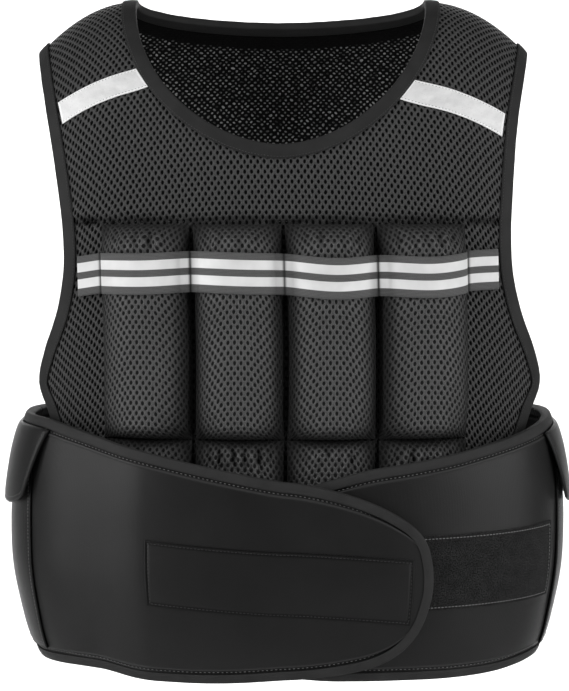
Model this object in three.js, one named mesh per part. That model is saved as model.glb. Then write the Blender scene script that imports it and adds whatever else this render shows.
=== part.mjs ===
// A weighted training vest: two padded mesh panels joined at the shoulders, rows of
// filled weight pockets, reflective tapes, bound edges, and a wide waist belt whose
// two wings overlap at the front, with a flapped pocket at each side.
// Lengths are millimetres and angles are degrees. +X is to the viewer's right, the
// front of the vest faces -Y, and +Z is up. The origin lies between the shoulders,
// at the height where the straps rest on them.
import * as THREE from "three";

// Gaps between pieces.
const clearance = 0.3;
const hookedGap = 0.7; // inside a folded binding, where the panel is faceted

// The body that the vest is worn on, which the panels' inner faces follow.
const bodyHalfWidth = 235;
const bodyFrontDepth = 112;
const bodyBackDepth = 100;
const bodySquareness = 2.3; // exponent of the body's horizontal sections
const chestFall = 165; // height over which the shoulder turns into the chest
const backFall = 140;
const sideLean = 5; // sideways lean of the worn vest, right at the waist

// Panels.
const panelWall = 4;
const hemDrop = 538;
const shoulderHalf = 203.5; // centre to the arm edge on the shoulder ridge
const neckHalf = 123;
const neckShift = -3;
const neckDropFront = 122;
const neckDropBack = 15;
const neckSquareness = 1.85;
const shoulderDropLeft = 45; // fall of the ridge from the neck to the arm edge
const shoulderDropRight = 39;
const bindingWidth = 10.5;
const bindingWall = 1.3;

// Weight pockets, in two rows of equal columns on each panel.
const pocketColumns = 4;
const pocketPitch = 74;
const pocketShift = -3; // the rows lie this far to the left of the panel's middle
const pocketWidth = 71;
const pocketEdge = 1.2; // height of the sewn edge
const pocketSeat = 0.5; // gap under a pocket
const upperPocketTop = 185; // below the shoulders
const upperPocketTopBack = 165;
const upperPocketHeight = 172;
const upperPocketDepth = 24;
const lowerPocketTop = 364;
const lowerPocketHeight = 164;
const lowerPocketDepth = 15;

// Reflective tapes.
const bandWidth = 33;
const bandWall = 1.2;
const bandDrop = 225;
const stripeWidth = 20;
const stripeWall = 0.8;
const stripeTurnLeft = 0.61; // quarter turns from the ridge towards the chest
const stripeTurnRight = 0.655;
const stripeTilt = 0.03; // turn gained from the neck end to the arm end

// Waist belt.
const beltTop = 345;
const beltHeight = 208;
const beltInset = 9; // the waist is narrower than the chest
const beltEaseFront = 11; // room left for the lower pockets to swell
const beltEaseBack = 9;
const beltHalfWidth = bodyHalfWidth - beltInset;
const beltFrontDepth = bodyFrontDepth + lowerPocketDepth + beltEaseFront;
const beltBackDepth = bodyBackDepth + lowerPocketDepth + beltEaseBack;
const beltSquareness = 2.6;
const beltWall = 5;
const beltLean = 3;
const beltBindingWidth = 6.5;
const beltBindingWall = 1.2;
const beltSeamTurn = 98; // from the front to where the wings meet the back
const lapStart = -42; // the left wing starts to rise over the right one
const lapEnd = -24;
const loopPatchHeight = 61;
const loopPatchTop = 92; // below the belt's top line
const loopPatchFrom = 9;
const loopPatchTo = 68;
const loopPatchSlant = -5;
const loopPatchWall = 1.2;
const frontPatchHeight = 52;
const frontPatchTop = 93;
const frontPatchSlant = 16; // fall of the patch along its length
const frontPatchFrom = -23.7;
const frontPatchTo = 19.8;
const frontPatchWall = 0.8;

// Side pockets on the belt and their flaps.
const patchSeat = 0.4; // gap under whatever is sewn on the belt
const sidePocketWall = 2;
const sidePocketBulge = 3;
const sidePocketMouth = 44; // below the belt's top line
const sidePocketBottom = 191;
const sidePocketTurns = 56;
const sidePocketFrontLeft = 63.5; // turn of the pocket's front edge, each side
const sidePocketFrontRight = 73.5;
const flapWall = 3;
const flapLength = 64;
const flapStandOff = 8; // how far the flap's free edge stands from its root
const flapOverhang = 7; // turn by which the flap is wider than the pocket
const flapTaper = 7; // turn lost at each side down to the free edge
const flapCorner = 0.16; // share of the length that the corners round away

// Body sections: height as a share of the hem's drop, the rest as shares of the
// body's half-width, front depth and back depth, and of the sideways lean.
const bodySections = [
  { drop: 0, width: 1, front: 1, back: 1, lean: 0 },
  { drop: 0.16, width: 1, front: 1, back: 1, lean: -0.3 },
  { drop: 0.3, width: 1, front: 1, back: 1, lean: 0.2 },
  { drop: 0.42, width: 0.983, front: 1, back: 1, lean: 0.6 },
  { drop: 0.54, width: 0.957, front: 0.99, back: 0.985, lean: 0.85 },
  { drop: 0.64, width: 0.932, front: 0.975, back: 0.97, lean: 0.8 },
  { drop: 0.77, width: 0.912, front: 0.96, back: 0.96, lean: 0.7 },
  { drop: 1, width: 0.905, front: 0.95, back: 0.95, lean: 0.6 },
];

// Arm edge of both panels: height as a share of the hem's drop, and distance from
// the centre as a share of the shoulder's half-width.
const armEdge = [
  { drop: 0.078, out: 1 },
  { drop: 0.12, out: 0.975 },
  { drop: 0.18, out: 0.943 },
  { drop: 0.24, out: 0.919 },
  { drop: 0.3, out: 0.902 },
  { drop: 0.36, out: 0.891 },
  { drop: 0.42, out: 0.896 },
  { drop: 0.48, out: 0.929 },
  { drop: 0.54, out: 0.985 },
  { drop: 0.59, out: 1.01 },
  { drop: 0.64, out: 0.965 },
  { drop: 0.7, out: 0.93 },
  { drop: 1, out: 0.93 },
];

// Belt sections: height as a share of the belt's, the rest as shares of its inner
// half-width, front depth and back depth.
const beltSections = [
  { drop: 0, width: 0.962, front: 0.955, back: 0.95 },
  { drop: 0.08, width: 0.984, front: 0.972, back: 0.97 },
  { drop: 0.25, width: 1, front: 0.995, back: 1 },
  { drop: 0.45, width: 1.004, front: 1, back: 1 },
  { drop: 0.62, width: 0.998, front: 1, back: 0.99 },
  { drop: 0.79, width: 0.972, front: 0.985, back: 0.975 },
  { drop: 0.9, width: 0.948, front: 0.965, back: 0.95 },
  { drop: 1, width: 0.908, front: 0.935, back: 0.915 },
];

// Outlines of the two wings: the turn from the front, and the upper and lower edge
// as shares of the belt's height.
const leftWing = [
  { turn: -98, top: 0.01, bottom: 0.975 },
  { turn: -84, top: 0.01, bottom: 0.972 },
  { turn: -70, top: 0.01, bottom: 0.97 },
  { turn: -59, top: 0.016, bottom: 0.967 },
  { turn: -48, top: 0.038, bottom: 0.965 },
  { turn: -38, top: 0.069, bottom: 0.97 },
  { turn: -29, top: 0.103, bottom: 0.98 },
  { turn: -20, top: 0.138, bottom: 0.987 },
  { turn: -12, top: 0.172, bottom: 0.99 },
  { turn: -5, top: 0.204, bottom: 0.985 },
  { turn: 1, top: 0.237, bottom: 0.972 },
  { turn: 7, top: 0.274, bottom: 0.953 },
  { turn: 12.5, top: 0.318, bottom: 0.928 },
  { turn: 17, top: 0.366, bottom: 0.888 },
  { turn: 20.4, top: 0.415, bottom: 0.83 },
  { turn: 22.5, top: 0.472, bottom: 0.76 },
  { turn: 23.6, top: 0.55, bottom: 0.68 },
  { turn: 23.9, top: 0.6, bottom: 0.64 },
];
const rightWing = [
  { turn: 98, top: 0.01, bottom: 0.975 },
  { turn: 84, top: 0.012, bottom: 0.967 },
  { turn: 72, top: 0.028, bottom: 0.963 },
  { turn: 60, top: 0.052, bottom: 0.975 },
  { turn: 50, top: 0.076, bottom: 0.988 },
  { turn: 40, top: 0.103, bottom: 0.996 },
  { turn: 30, top: 0.135, bottom: 1 },
  { turn: 20, top: 0.163, bottom: 1 },
  { turn: 11, top: 0.19, bottom: 1 },
  { turn: 3, top: 0.24, bottom: 0.995 },
  { turn: -4, top: 0.3, bottom: 0.965 },
  { turn: -9, top: 0.36, bottom: 0.91 },
  { turn: -12.5, top: 0.43, bottom: 0.83 },
  { turn: -14, top: 0.51, bottom: 0.7 },
  { turn: -14.5, top: 0.58, bottom: 0.63 },
];

// Height of the chest band along its length: the place as a share of its half
// length, and the rise as a share of the band's width.
const bandLine = [
  { at: -1, rise: -0.08 },
  { at: -0.86, rise: 0.02 },
  { at: -0.65, rise: 0.03 },
  { at: -0.43, rise: 0.07 },
  { at: -0.22, rise: 0.04 },
  { at: 0, rise: 0 },
  { at: 0.22, rise: -0.09 },
  { at: 0.44, rise: -0.03 },
  { at: 0.66, rise: -0.06 },
  { at: 0.88, rise: 0.07 },
  { at: 1, rise: 0.1 },
];

const degree = Math.PI / 180;
const quarter = Math.PI / 2;
const range = (count) => Array.from({ length: count }, (_, i) => i);
const mix = (a, b, share) => a + (b - a) * share;
const clamp = (value) => Math.min(1, Math.max(0, value));
const ease = (share) => clamp(share) ** 2 * (3 - 2 * clamp(share));

// A smooth curve through a table's rows: the value of column at key's place. Past
// its ends the curve runs on straight.
function along(rows, key, column, place) {
  const from = rows[0][key] < rows[rows.length - 1][key] ? rows : [...rows].reverse();
  const last = from.length - 1;
  const slope = (k) => {
    const low = from[Math.max(0, k - 1)];
    const high = from[Math.min(last, k + 1)];
    return (high[column] - low[column]) / (high[key] - low[key]);
  };
  for (const end of [0, last]) {
    const beyond = place - from[end][key];
    if (end === 0 ? beyond <= 0 : beyond >= 0) return from[end][column] + slope(end) * beyond;
  }
  const i = from.findIndex((row) => row[key] > place) - 1;
  const span = from[i + 1][key] - from[i][key];
  const t = (place - from[i][key]) / span;
  const a = from[i][column];
  const b = from[i + 1][column];
  return (
    a * (2 * t ** 3 - 3 * t ** 2 + 1) +
    b * (3 * t ** 2 - 2 * t ** 3) +
    span * (slope(i) * (t ** 3 - 2 * t ** 2 + t) + slope(i + 1) * (t ** 3 - t ** 2))
  );
}

// The body's surface. x is the distance from the centre, and turn is the way down
// from the shoulder ridge: 0 on the ridge, 1 where the chest is upright, and
// negative on the back.
function ridgeHeight(x) {
  const out = Math.max(0, Math.abs(x - neckShift) - neckHalf) / (shoulderHalf - neckHalf);
  return -(x < 0 ? shoulderDropLeft : shoulderDropRight) * out ** 2;
}

function bodyPoint(x, turn) {
  const fall = turn > 0 ? chestFall : backFall;
  const angle = Math.min(Math.abs(turn), 1) * quarter;
  const straight = Math.max(0, Math.abs(turn) - 1) * quarter;
  const z = ridgeHeight(x) - fall * (1 - Math.cos(angle) + straight);
  const section = (column) => along(bodySections, "drop", column, -z / hemDrop);
  const half = bodyHalfWidth * section("width");
  const across = Math.min(0.995, Math.abs(x) / half);
  const round = (1 - across ** bodySquareness) ** (1 / bodySquareness);
  const depth = turn > 0 ? -bodyFrontDepth * section("front") : bodyBackDepth * section("back");
  const shift = sideLean * section("lean");
  return new THREE.Vector3(x + shift, depth * round * Math.sin(angle), z);
}

// The turn at which the surface is a given height below the shoulders.
function turnAt(x, drop, side) {
  const fall = side > 0 ? chestFall : backFall;
  const share = (drop + ridgeHeight(x)) / fall;
  const turn = share < 1 ? Math.acos(1 - Math.max(0, share)) / quarter : 1 + (share - 1) / quarter;
  return side * turn;
}

function slopes(x, turn) {
  const step = 0.5;
  const small = 0.004;
  const byX = bodyPoint(x + step, turn).sub(bodyPoint(x - step, turn)).divideScalar(2 * step);
  const byTurn = bodyPoint(x, turn + small).sub(bodyPoint(x, turn - small));
  return { byX, byTurn: byTurn.divideScalar(2 * small) };
}

// A point a given height outside the body's surface.
function onBody(x, turn, height) {
  const { byX, byTurn } = slopes(x, turn);
  const out = byTurn.cross(byX).normalize();
  return bodyPoint(x, turn).addScaledVector(out, height);
}

// The belt's inner surface, by the turn about Z from the front and the drop below
// the belt's top line.
function beltPoint(turn, drop) {
  const section = (column) => along(beltSections, "drop", column, drop / beltHeight);
  const sine = Math.sin(turn * degree);
  const cosine = Math.cos(turn * degree);
  const power = 2 / beltSquareness;
  const depth = cosine > 0 ? -beltFrontDepth * section("front") : beltBackDepth * section("back");
  return new THREE.Vector3(
    beltHalfWidth * section("width") * Math.sign(sine) * Math.abs(sine) ** power + beltLean,
    depth * Math.abs(cosine) ** power,
    -beltTop - drop,
  );
}

function onBelt(turn, drop, height) {
  const step = 0.6;
  const byTurn = beltPoint(turn + step, drop).sub(beltPoint(turn - step, drop));
  const byDrop = beltPoint(turn, drop + step).sub(beltPoint(turn, drop - step));
  const out = byDrop.cross(byTurn).normalize();
  return beltPoint(turn, drop).addScaledVector(out, height);
}

// Closed meshes.
function closedGeometry(points, faces) {
  let volume = 0;
  for (const [a, b, c] of faces) {
    volume += points[a].dot(new THREE.Vector3().crossVectors(points[b], points[c]));
  }
  const facing = volume < 0 ? faces.map(([a, b, c]) => [a, c, b]) : faces;
  const geometry = new THREE.BufferGeometry().setFromPoints(points);
  geometry.setIndex(facing.flat());
  geometry.computeVertexNormals();
  return geometry;
}

// A wall between two grids of points with as many rows and columns each.
function wallBetween(inner, outer) {
  const rows = inner.length;
  const columns = inner[0].length;
  const count = rows * columns;
  const at = (r, c) => r * columns + c;
  const faces = [];
  const quad = (a, b, c, d) => faces.push([a, b, c], [a, c, d]);
  for (let r = 0; r < rows - 1; r++) {
    for (let c = 0; c < columns - 1; c++) {
      quad(at(r, c), at(r, c + 1), at(r + 1, c + 1), at(r + 1, c));
      quad(
        count + at(r, c),
        count + at(r + 1, c),
        count + at(r + 1, c + 1),
        count + at(r, c + 1),
      );
    }
  }
  const rim = [
    ...range(columns - 1).map((c) => at(0, c)),
    ...range(rows - 1).map((r) => at(r, columns - 1)),
    ...range(columns - 1).map((c) => at(rows - 1, columns - 1 - c)),
    ...range(rows - 1).map((r) => at(rows - 1 - r, 0)),
  ];
  rim.forEach((a, i) => {
    const b = rim[(i + 1) % rim.length];
    quad(a, count + a, count + b, b);
  });
  return closedGeometry([...inner.flat(), ...outer.flat()], faces);
}

// A profile carried along stations, joined into a ring or capped at both ends.
// place(station, across, height) gives a profile corner's point. A face is split
// along the diagonal that leads inwards, or along the other one where crossed.
function carried(stations, profile, place, ring, crossed = () => false) {
  const size = profile.length;
  const points = stations.flatMap((s) => profile.map(([across, height]) => place(s, across, height)));
  const faces = [];
  const spans = ring ? stations.length : stations.length - 1;
  for (let i = 0; i < spans; i++) {
    const next = ((i + 1) % stations.length) * size;
    for (let k = 0; k < size; k++) {
      const m = (k + 1) % size;
      const [a, b, c, d] = [i * size + k, i * size + m, next + m, next + k];
      if (profile[k][0] > profile[m][0] !== crossed(i)) faces.push([a, b, d], [b, c, d]);
      else faces.push([a, b, c], [a, c, d]);
    }
  }
  if (!ring) {
    const flat = profile.map(([across, height]) => new THREE.Vector2(across, height));
    const caps = THREE.ShapeUtils.triangulateShape(flat, []);
    const turned = THREE.ShapeUtils.isClockWise(flat);
    const last = (stations.length - 1) * size;
    for (const [a, b, c] of caps) {
      faces.push(turned ? [a, b, c] : [a, c, b]);
      faces.push(turned ? [last + a, last + c, last + b] : [last + a, last + b, last + c]);
    }
  }
  return closedGeometry(points, faces);
}

// A tape folded over an edge: across is counted inwards from the edge of a wall
// that lies between heights 0 and wall.
function foldedTape(wall, width, tape, gap) {
  return [
    [width, wall + clearance],
    [-clearance, wall + clearance],
    [-clearance, -gap],
    [width - tape, -gap],
    [width - tape, -gap - tape],
    [-clearance - tape, -gap - tape],
    [-clearance - tape, wall + clearance + tape],
    [width, wall + clearance + tape],
  ];
}

// Edges of the panels, as places on the body's surface.
const armStations = 13;
const hemStations = 7;
const rayCount = 2 * armStations + hemStations;
const innerRings = 7;
const hemSlant = 0.6; // an arm binding's ends rise towards the panel by this slope

function neckPlace(share, side) {
  const angle = share * Math.PI;
  const power = 2 / neckSquareness;
  const x = neckShift - neckHalf * Math.sign(Math.cos(angle)) * Math.abs(Math.cos(angle)) ** power;
  const drop = (side > 0 ? neckDropFront : neckDropBack) * Math.abs(Math.sin(angle)) ** power;
  return { x, turn: share % 1 === 0 ? 0 : turnAt(x, drop, side) };
}

// Stations crowd towards the ridge, where the panels bend most.
function armPlace(share, side, hand) {
  const drop = mix(armEdge[0].drop, 1, share ** 1.35);
  const x = hand * shoulderHalf * along(armEdge, "drop", "out", drop);
  return { x, turn: share === 0 ? 0 : turnAt(x, drop * hemDrop, side) };
}

function hemPlace(share, side) {
  const x = mix(-1, 1, share) * shoulderHalf * armEdge[armEdge.length - 1].out;
  return { x, turn: turnAt(x, hemDrop, side) };
}

const neckEdge = (side) => range(rayCount).map((i) => neckPlace(i / (rayCount - 1), side));
const armEdgeOf = (side, hand) =>
  range(armStations).map((i) => armPlace(i / (armStations - 1), side, hand));

// Adds to each place of an edge the step over the surface that leads one
// millimetre into the panel. A place on the ridge steps along the ridge.
function withInward(places, ring, hand) {
  const count = places.length;
  return places.map((place, i) => {
    const before = places[ring ? (i + count - 1) % count : Math.max(0, i - 1)];
    const after = places[ring ? (i + 1) % count : Math.min(count - 1, i + 1)];
    const { byX, byTurn } = slopes(place.x, place.turn);
    const run = bodyPoint(after.x, after.turn).sub(bodyPoint(before.x, before.turn)).normalize();
    const out = new THREE.Vector3().crossVectors(byTurn, byX).normalize();
    const inward = new THREE.Vector3().crossVectors(run, out).multiplyScalar(hand);
    if (place.turn === 0) {
      return { ...place, stepX: Math.sign(inward.dot(byX)) / byX.length(), stepTurn: 0 };
    }
    const a = byX.dot(byX);
    const b = byX.dot(byTurn);
    const c = byTurn.dot(byTurn);
    const whole = a * c - b * b;
    const px = inward.dot(byX);
    const pt = inward.dot(byTurn);
    return { ...place, stepX: (c * px - b * pt) / whole, stepTurn: (a * pt - b * px) / whole };
  });
}

const inwardBy = (s, across) => ({ x: s.x + across * s.stepX, turn: s.turn + across * s.stepTurn });

// The neck's ring runs along the front edge and back along the back edge; an arm's
// run goes from the front hem over the ridge to the back hem.
const neckRing = withInward(
  [...neckEdge(1), ...neckEdge(-1).slice(1, -1).reverse()],
  true,
  1,
);
function armRun(hand) {
  const edge = [...armEdgeOf(1, hand).reverse(), ...armEdgeOf(-1, hand).slice(1)];
  const run = withInward(edge, false, -hand);
  for (const [end, fall] of [[run[0], chestFall], [run[run.length - 1], backFall]]) {
    end.stepTurn -= (Math.sign(end.turn) * hemSlant) / (fall * quarter);
  }
  return run;
}
const armRunLeft = armRun(-1);
const armRunRight = armRun(1);

// The seam on the ridge leaves a gap between the two panels.
function offSeam(place, side) {
  const depth = Math.abs(bodyPoint(place.x, side).y);
  const least = clearance / 2 / (depth * quarter);
  return { x: place.x, turn: side * Math.max(least, Math.abs(place.turn)) };
}

// A panel fans out from the neck edge to the arm edges and the hem.
function panel(side) {
  const half = (run) => (side > 0 ? run.slice(0, armStations).reverse() : run.slice(armStations - 1));
  const left = half(armRunLeft);
  const right = half(armRunRight);
  const hem = range(hemStations).map((i) => hemPlace((i + 1) / (hemStations + 1), side));
  const perTurn = (side > 0 ? chestFall : backFall) * quarter;
  const hemRun = hem.map((place) => ({ ...place, stepX: 0, stepTurn: -side / perTurn }));
  const rim = [...left, ...hemRun, ...right.reverse()];
  const neck = neckRing.length;
  const grid = rim.map((outer, i) => {
    const inner = side > 0 ? neckRing[i] : neckRing[(neck - i) % neck];
    const near = inwardBy(inner, bindingWidth);
    const far = inwardBy(outer, bindingWidth);
    const between = range(innerRings).map((k) => {
      const share = k / (innerRings - 1);
      return { x: mix(near.x, far.x, share), turn: mix(near.turn, far.turn, share) };
    });
    return [inner, ...between, outer].map((place) => offSeam(place, side));
  });
  const sheet = (height) => grid.map((ray) => ray.map((p) => onBody(p.x, p.turn, height)));
  return wallBetween(sheet(0), sheet(panelWall));
}

function edgeBinding(run, ring, crossed) {
  const profile = foldedTape(panelWall, bindingWidth, bindingWall, hookedGap);
  const place = (s, across, height) => {
    const { x, turn } = inwardBy(s, across);
    return onBody(x, turn, height);
  };
  return carried(run, profile, place, ring, crossed);
}

// A weight pocket's height over the panel, by its shares across and down.
function pocketSwell(across, down, depth, height) {
  const side = Math.max(0, 1 - Math.abs(2 * across - 1) ** 2.4) ** 0.62;
  const head = clamp((down * height) / (0.9 * depth));
  const foot = clamp(((1 - down) * height) / (0.55 * depth));
  const ends = Math.sqrt(1 - (1 - head) ** 2) * Math.sqrt(1 - (1 - foot) ** 2);
  return depth * side * ends;
}

const crowded = (share) => 0.5 - 0.5 * Math.cos(share * Math.PI);
const pocketAcross = (share) => mix(share, crowded(share), 0.5);
const pocketCentre = (column) => (column - (pocketColumns - 1) / 2) * pocketPitch + pocketShift;

function weightPocket(column, top, height, depth, side, columns, rows) {
  const base = panelWall + pocketSeat;
  const sheet = (swollen) =>
    range(rows + 1).map((r) => {
      const down = crowded(r / rows);
      return range(columns + 1).map((c) => {
        const across = pocketAcross(c / columns);
        const x = pocketCentre(column) + (across - 0.5) * pocketWidth;
        const swell = swollen ? pocketEdge + pocketSwell(across, down, depth, height) : 0;
        return onBody(x, turnAt(x, top + down * height, side), base + swell);
      });
    });
  return wallBetween(sheet(false), sheet(true));
}

// The band lies over the pockets and dips between them.
const upperCells = 8;

function reflectiveBand(side) {
  const top = side > 0 ? upperPocketTop : upperPocketTopBack;
  const edge = shoulderHalf * along(armEdge, "drop", "out", bandDrop / hemDrop);
  const end = edge - bindingWidth - 2;
  const sewn = (pocketColumns * pocketPitch) / 2;
  const over = range(pocketColumns).flatMap((column) =>
    range(upperCells + 1).map((c) => {
      const across = pocketAcross(c / upperCells);
      const down = (bandDrop - top) / upperPocketHeight;
      const x = pocketCentre(column) + (across - 0.5) * pocketWidth;
      return { x, swell: pocketSwell(across, down, upperPocketDepth, upperPocketHeight) };
    }),
  );
  const margin = (hand) => [hand * end, hand * mix(end, sewn, 0.6)].map((x) => ({ x, swell: 0 }));
  const base = panelWall + pocketSeat + pocketEdge + 2 * clearance;
  const profile = [
    [-0.5, 0],
    [0.5, 0],
    [0.5, bandWall],
    [-0.5, bandWall],
  ];
  const place = ({ x, swell }, across, height) => {
    const rise = side > 0 ? along(bandLine, "at", "rise", x / end) : 0;
    const drop = bandDrop - (rise + across) * bandWidth;
    return onBody(x, turnAt(x, drop, side), base + swell + height);
  };
  return carried([...margin(-1), ...over, ...margin(1).reverse()], profile, place, false);
}

// A shoulder stripe runs from the neck binding to the arm binding.
function shoulderStripe(hand) {
  const middle = hand < 0 ? stripeTurnLeft : stripeTurnRight;
  const columns = 7;
  const rows = 2;
  const sheet = (height) =>
    range(rows + 1).map((r) => {
      const perTurn = chestFall * 0.82 * quarter;
      const turn = middle - 0.5 * stripeTilt + ((r / rows - 0.5) * stripeWidth) / perTurn;
      const fall = chestFall * (1 - Math.cos(turn * quarter));
      const neckShare = (1 - (fall / neckDropFront) ** neckSquareness) ** (1 / neckSquareness);
      const ridge = -ridgeHeight(hand * shoulderHalf * 0.9);
      const drop = (fall + ridge) / hemDrop;
      const out = shoulderHalf * along(armEdge, "drop", "out", drop);
      const from = neckHalf * neckShare + hand * neckShift + 1.5 * bindingWidth;
      const to = out - 1.15 * bindingWidth;
      return range(columns + 1).map((c) => {
        const share = c / columns;
        return onBody(hand * mix(from, to, share), turn + stripeTilt * share, height);
      });
    });
  const base = panelWall + clearance;
  return wallBetween(sheet(base), sheet(base + stripeWall));
}

// The belt. The left wing rises over the right one and its folded binding.
const lapHeight = beltWall + 2 * (hookedGap + beltBindingWall) + 2 * clearance;
const lapLift = (turn) => lapHeight * ease((turn - lapStart) / (lapEnd - lapStart));
const noLift = () => 0;

function beltWallOf(outline, lift) {
  const sheet = (height) =>
    outline.map((o) => {
      const [top, bottom] = [o.top * beltHeight, o.bottom * beltHeight];
      const bound = Math.min(beltBindingWidth, 0.4 * (bottom - top));
      const [from, to] = [top + bound, bottom - bound];
      const drops = [top, from, mix(from, to, 1 / 3), mix(from, to, 2 / 3), to, bottom];
      return drops.map((drop) => onBelt(o.turn, drop, lift(o.turn) + height));
    });
  return wallBetween(sheet(0), sheet(beltWall));
}

// A binding along belt edges, given as turns and drops with the wall to one side.
function beltBinding(edge, lift, hand, crossed) {
  const stations = edge.map((place, i) => {
    const before = edge[Math.max(0, i - 1)];
    const after = edge[Math.min(edge.length - 1, i + 1)];
    const point = (p) => beltPoint(p.turn, p.drop);
    const step = 0.5;
    const byTurn = beltPoint(place.turn + step, place.drop).sub(beltPoint(place.turn - step, place.drop));
    const perTurn = byTurn.length() / (2 * step);
    const run = point(after).sub(point(before)).normalize();
    const runTurn = run.dot(byTurn.normalize());
    const runDrop = -run.z;
    const size = Math.hypot(runTurn, runDrop);
    return {
      ...place,
      stepTurn: (-hand * runDrop) / size / perTurn,
      stepDrop: (hand * runTurn) / size,
    };
  });
  const profile = foldedTape(beltWall, beltBindingWidth, beltBindingWall, hookedGap);
  const place = (s, across, height) => {
    const turn = s.turn + across * s.stepTurn;
    return onBelt(turn, s.drop + across * s.stepDrop, lift(s.turn) + height);
  };
  return carried(stations, profile, place, false, crossed);
}

function wingEdge(outline) {
  const row = (o, column) => ({ turn: o.turn, drop: o[column] * beltHeight });
  return [
    ...outline.map((o) => row(o, "top")),
    ...[...outline].reverse().map((o) => row(o, "bottom")),
  ];
}

const backSpans = 14;
const seamGapTurn = 0.25;
const backOutline = range(backSpans + 1).map((i) => ({
  turn: mix(beltSeamTurn + seamGapTurn, 360 - beltSeamTurn - seamGapTurn, i / backSpans),
  top: leftWing[0].top,
  bottom: 1,
}));

// The turns of the belt's own facets that lie between two turns, with these two.
function beltTurns(from, to) {
  const own = [...leftWing, ...rightWing, ...backOutline].map((o) => o.turn);
  const all = own.flatMap((turn) => [turn, turn - 360]).filter((turn) => turn > from + 2 && turn < to - 2);
  const rows = [...new Set([from, ...all, to])].sort((a, b) => a - b);
  return rows.filter((turn, i) => i === 0 || turn - rows[i - 1] > 2 || turn === to);
}

// A flat patch on a wing between two turns.
function beltPatch(outline, from, to, top, height, slant, lift, wall) {
  const own = outline.map((o) => o.turn).filter((turn) => turn > from && turn < to);
  const turns = [from, ...own.sort((a, b) => a - b), to];
  const sheet = (level) =>
    turns.map((turn) => {
      const start = top + (slant * (turn - from)) / (to - from);
      return [0, 0.25, 0.5, 0.75, 1].map((down) =>
        onBelt(turn, start + down * height, lift(turn) + beltWall + patchSeat + level),
      );
    });
  return wallBetween(sheet(0), sheet(wall));
}

// A side pocket is open along its mouth, so its wall stands off the belt there.
const sideCells = 5;
const sideTurns = (hand, from, to) => (hand > 0 ? beltTurns(from, to) : beltTurns(-to, -from));

function sidePocket(hand, front) {
  const turns = sideTurns(hand, front, front + sidePocketTurns);
  const sheet = (level) =>
    turns.map((turn) => {
      const share = (hand * turn - front) / sidePocketTurns;
      return range(sideCells + 1).map((r) => {
        const down = r / sideCells;
        const fullness = mix(0.5, 1, ease(3 * down)) * (1 - down ** 4);
        const swell = sidePocketBulge * Math.sin(Math.PI * share) * fullness;
        const drop = mix(sidePocketMouth, sidePocketBottom, down);
        return onBelt(turn, drop, beltWall + patchSeat + swell + level);
      });
    });
  return wallBetween(sheet(0), sheet(sidePocketWall));
}

// The flap hangs from the belt's top binding over the pocket's mouth, standing
// further off towards its free edge, whose corners are rounded.
function sideFlap(hand, front) {
  const from = front - flapOverhang;
  const to = front + sidePocketTurns + flapOverhang;
  const outline = hand < 0 ? leftWing : rightWing;
  const sheet = (level) =>
    sideTurns(hand, from, to).map((turn) => {
      const share = (hand * turn - from) / (to - from);
      const corner = Math.max(0, Math.abs(2 * share - 1) - 0.6) / 0.4;
      const length = flapLength * (1 - flapCorner * corner ** 2);
      const seam = Math.min(Math.abs(turn), beltSeamTurn);
      const edge = along(outline, "turn", "top", hand * seam) * beltHeight;
      const top = edge + beltBindingWidth + 3 * clearance;
      return range(sideCells + 1).map((r) => {
        const down = r / sideCells;
        const narrowed = turn + hand * flapTaper * down * (1 - 2 * share);
        const stand = patchSeat + flapStandOff * down ** 0.6;
        return onBelt(narrowed, top + down * length, beltWall + stand + level);
      });
    });
  return wallBetween(sheet(0), sheet(flapWall));
}

// Materials.
const finish = (color, roughness, metalness = 0) =>
  new THREE.MeshStandardMaterial({ color, roughness, metalness });
const spacerMesh = finish(0x2b2b2b, 0.85);
const bindingTape = finish(0x343434, 0.75);
const beltCloth = finish(0x2a2a2a, 0.6);
const loopPile = finish(0x161616, 0.95);
const reflectiveTape = finish(0xd4d4d4, 0.4, 0.2);
const bandWebbing = finish(0x5a5a5a, 0.7);

const vest = new THREE.Group();
function add(name, geometry, material) {
  const mesh = new THREE.Mesh(geometry, material);
  mesh.name = name;
  vest.add(mesh);
}

function addPanels() {
  add("front_panel", panel(1), spacerMesh);
  add("back_panel", panel(-1), spacerMesh);
  add("neck_binding", edgeBinding(neckRing, true, (i) => i >= rayCount - 1), bindingTape);
  add("arm_binding_left", edgeBinding(armRunLeft, false, (i) => i >= armStations - 1), bindingTape);
  add("arm_binding_right", edgeBinding(armRunRight, false, (i) => i < armStations - 1), bindingTape);
}

function addPockets() {
  for (const [name, side] of [["front", 1], ["back", -1]]) {
    for (const column of range(pocketColumns)) {
      const top = side > 0 ? upperPocketTop : upperPocketTopBack;
      const upper = [top, upperPocketHeight, upperPocketDepth];
      const lower = [lowerPocketTop, lowerPocketHeight, lowerPocketDepth];
      const number = column + 1;
      add(`${name}_pocket_upper_${number}`, weightPocket(column, ...upper, side, upperCells, 6), spacerMesh);
      add(`${name}_pocket_lower_${number}`, weightPocket(column, ...lower, side, 6, 5), spacerMesh);
    }
  }
}

function addTapes() {
  add("chest_band", reflectiveBand(1), bandWebbing);
  add("back_band", reflectiveBand(-1), bandWebbing);
  add("shoulder_stripe_left", shoulderStripe(-1), reflectiveTape);
  add("shoulder_stripe_right", shoulderStripe(1), reflectiveTape);
}

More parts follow.
